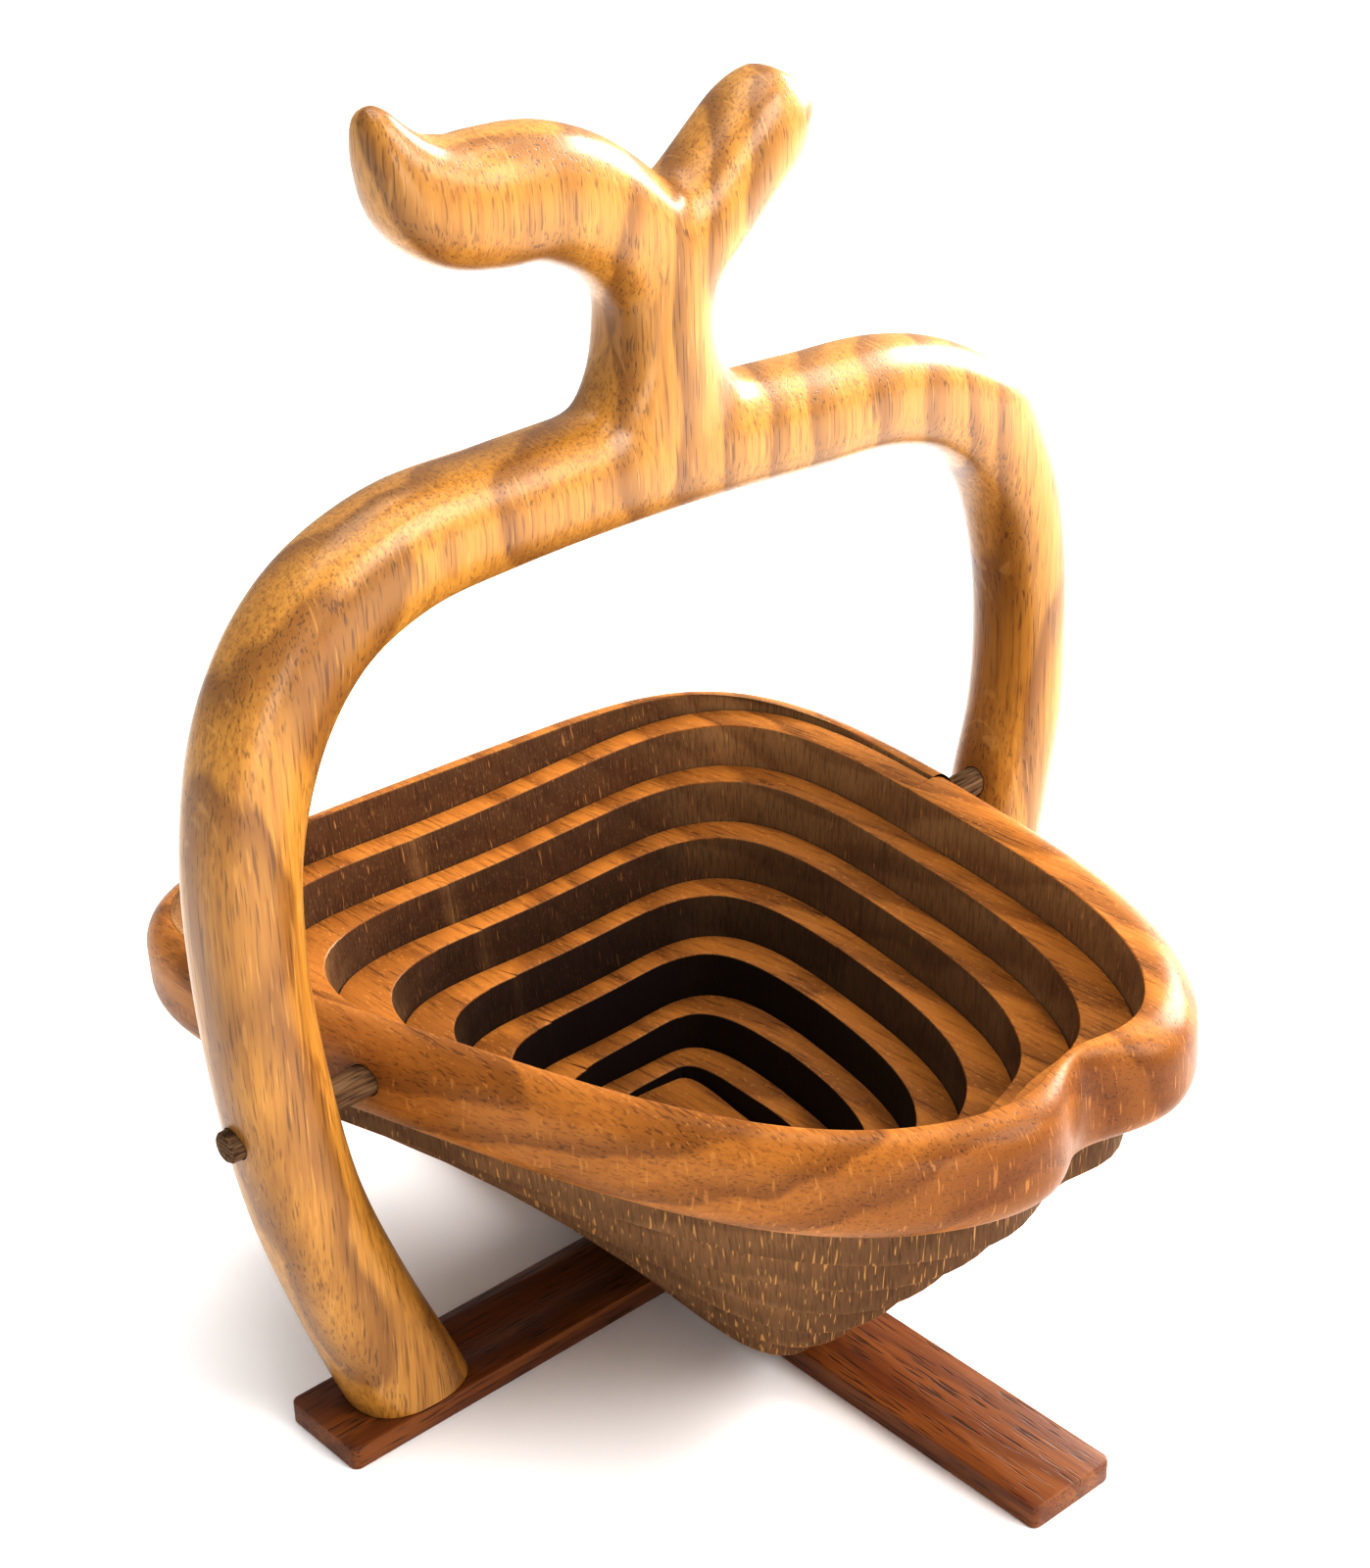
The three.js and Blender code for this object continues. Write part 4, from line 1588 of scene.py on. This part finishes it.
        u = np.sign(np.cos(angle)) * np.abs(np.cos(angle)) ** softer
        v = np.sign(np.sin(angle)) * np.abs(np.sin(angle)) ** softer
        x = smooth[:, :1] + tangent[:, 1:] * smooth[:, 2:3] * u
        z = smooth[:, 1:2] - tangent[:, :1] * smooth[:, 2:3] * u
        y = smooth[:, 3:] * v
        points = np.stack([x, y, z], axis=-1).reshape(-1, 3)
        return points, ring_faces(steps + 1, self.section_sides)

    def _relax(self, made: bpy.types.Object) -> None:
        """Smooths the melted mesh, most where neck, stem, leaf and arch run into each other.

        Args:
            made: The handle, still with its feet too long.
        """
        mesh = made.data
        points = np.array([v.co for v in mesh.vertices])
        edges = np.array([e.vertices[:] for e in mesh.edges])
        count = np.zeros(len(points))
        np.add.at(count, edges.ravel(), 1)
        near = np.zeros(len(points))
        for x, z, reach in self.melt_places:
            centre = np.array([x * self.crest_height, 0.0, self.crest + z * self.crest_height])
            away = np.linalg.norm(points - centre, axis=1)
            near = np.maximum(near, np.clip(self.melt_reach - away / reach, 0, 1))
        for turn in range(self.relax_rounds):
            share = self.relax_share * (np.ones(len(points)) if turn < self.even_rounds else near)
            total = np.zeros_like(points)
            np.add.at(total, edges[:, 0], points[edges[:, 1]])
            np.add.at(total, edges[:, 1], points[edges[:, 0]])
            points += share[:, None] * (total / count[:, None] - points)
        mesh.vertices.foreach_set("co", points.astype(np.float32).ravel())
        mesh.update()

    def _saw_feet(self, made: bpy.types.Object) -> None:
        """Saws the feet off level.

        Args:
            made: The smoothed handle.
        """
        with edited(made) as work:
            cut = bmesh.ops.bisect_plane(
                work,
                geom=[*work.verts, *work.edges, *work.faces],
                plane_co=(0, 0, self.foot_level),
                plane_no=(0, 0, -1),
                clear_outer=True,
            )
            rims = [item for item in cut["geom_cut"] if isinstance(item, bmesh.types.BMEdge)]
            bmesh.ops.holes_fill(work, edges=rims)

    def _bore(self, made: bpy.types.Object) -> None:
        """Drills the holes for the dowels and for the pegs.

        Args:
            made: The handle with its level feet.
        """
        at = self.board.pivot_height
        legs = [((s * self.bore_from, 0, at), (s * self.bore_to, 0, at), DOWEL_BORE_RADIUS) for s in (-1, 1)]
        feet = [((x, 0, 0), (x, 0, self.peg_top), PEG_RADIUS) for x in peg_places()]
        cut_away(made, [drilled(*hole) for hole in legs + feet])


@dataclass
class Base:
    """The two flat bars, halved into each other where they cross."""

    base_finish: bpy.types.Material
    foot_finish: bpy.types.Material
    width: float = 25.4 * MM
    corner: float = 2 * MM
    corner_steps: int = 4
    clearance: float = 0.3 * MM
    eased: float = 0.5 * MM
    eased_from: float = math.radians(40)
    eased_segments: int = 2
    overrun: float = 5 * MM
    peg_bottom: float = 1.3 * MM

    def make(self) -> None:
        """Makes both bars, with their halvings, the peg holes and eased edges."""
        middle, above = BAR_THICKNESS / 2, BAR_THICKNESS + self.overrun
        base = self._bar("base_bar_piece", "base_bar")
        notch = self._notch(-self.overrun, middle + self.clearance / 2)
        holes = [drilled((x, 0, self.peg_bottom), (x, 0, above), PEG_RADIUS) for x in peg_places()]
        self._finish(base, [notch, *holes], self.base_finish, "base_bar")
        foot = self._bar("foot_bar_piece", "foot_bar")
        notch = self._notch(middle - self.clearance / 2, above)
        self._finish(foot, [notch], self.foot_finish, "foot_bar")

    def _bar(self, name: str, node: str) -> bpy.types.Object:
        """Makes a flat bar with rounded corners in plan, as long and as wide as its node.

        Args:
            name: The piece's name.
            node: The node that it stands for.

        Returns:
            The bar, not yet notched.
        """
        low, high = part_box(node)
        middle = (low + high) / 2
        radius = self.corner
        x, y = (high.x - low.x) / 2 - radius, (high.y - low.y) / 2 - radius
        plan = []
        for quarter, (cx, cy) in enumerate(((x, y), (-x, y), (-x, -y), (x, -y))):
            for step in range(self.corner_steps + 1):
                angle = math.pi / 2 * (quarter + step / self.corner_steps)
                out = (radius * math.cos(angle), radius * math.sin(angle))
                plan.append((middle.x + cx + out[0], middle.y + cy + out[1]))
        points = [(*corner, z) for z in (0.0, BAR_THICKNESS) for corner in plan]
        return mesh_object(name, np.array(points), ring_faces(2, len(plan)))

    def _notch(self, low: float, high: float) -> bpy.types.Object:
        """Makes the block that is cut out for the other bar.

        Args:
            low: Where it begins.
            high: Where it ends. Where that is above the bars, the block lies across the foot bar.

        Returns:
            The block.
        """
        reach = self.width / 2 + self.clearance
        wide = self.width / 2 + self.overrun
        x, y = (wide, reach) if high > BAR_THICKNESS else (reach, wide)
        points = [(*corner, z) for z in (low, high) for corner in ((-x, -y), (x, -y), (x, y), (-x, y))]
        return mesh_object("notch", np.array(points), ring_faces(2, 4))

    def _finish(
        self, bar: bpy.types.Object, cutters: list[bpy.types.Object], material: bpy.types.Material, node: str
    ) -> None:
        """Cuts a bar, eases its edges and dresses it.

        Args:
            bar: The plain bar.
            cutters: What is cut out of it.
            material: Its finish.
            node: The node that it stands for.
        """
        cut_away(bar, cutters)
        easing = bar.modifiers.new("eased", "BEVEL")
        easing.width = self.eased
        easing.segments = self.eased_segments
        easing.limit_method = "ANGLE"
        easing.angle_limit = self.eased_from
        make_plain(bar)
        dress(bar, material)
        smooth_below(bar, SHARP_BAR)
        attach(bar, "base")
        stand_for(bar, node)


@dataclass(frozen=True)
class Dowels:
    """The two pivot dowels and the two pegs under the legs.

    The outer tip has rows of how far in a point lies and how far below the full radius, as shares of the
    easing.
    """

    finish: bpy.types.Material
    board: Board
    radius: float = 3.75 * MM
    eased: float = 0.7 * MM
    outer_tip: tuple[tuple[float, float], ...] = ((0.0, 1.6), (0.25, 0.6), (1.0, 0.0))
    bore_depth: float = 14 * MM
    bore_clearance: float = 0.3 * MM

    def make(self) -> list[tuple[float, float]]:
        """Makes the dowels from where their nodes lie, and dresses the pegs.

        Returns:
            For each side, where the rim's bore starts and ends.
        """
        bores = []
        for side in ("left", "right"):
            node = f"{side}_pivot_dowel"
            low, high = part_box(node)
            outer, inner = (low.x, high.x) if side == "left" else (high.x, low.x)
            share = self.eased / abs(outer - inner)
            profile = [(run * share, self.radius - less * self.eased) for run, less in self.outer_tip]
            profile += [(1 - share, self.radius), (1.0, self.radius - self.eased)]
            at = self.board.pivot_height
            piece = turned_bar(f"{side}_dowel", Vector((outer, 0, at)), Vector((inner, 0, at)), profile)
            dress(piece, self.finish)
            smooth_below(piece, SHARP_ROUND)
            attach(piece, "handle")
            stand_for(piece, node)
            inward = 1 if side == "left" else -1
            bores.append((inner + inward * self.bore_clearance, inner - inward * self.bore_depth))
        for node in ("left_leg_peg", "right_leg_peg"):
            dress(bpy.data.objects[node], self.finish)
        return bores


def main() -> None:
    """Builds the studio and every piece of the basket."""
    logging.basicConfig(level=logging.INFO, format="%(name)s: %(message)s")
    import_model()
    Studio().make()
    board = Board()
    varnished = VARNISHED_BOARD.build()
    sawn = SAWN_WALL.build()
    bores = Dowels(BARE_DOWEL.build(), board).make()
    Base(STAINED_BASE_BAR.build(), STAINED_FOOT_BAR.build()).make()
    Handle(VARNISHED_HANDLE.build(), board).make()
    Rim(board, varnished, sawn, bores=tuple(bores)).make()
    Spiral(board, varnished, sawn, SAWN_OUTSIDE.build()).make()


if __name__ == "__main__":
    main()
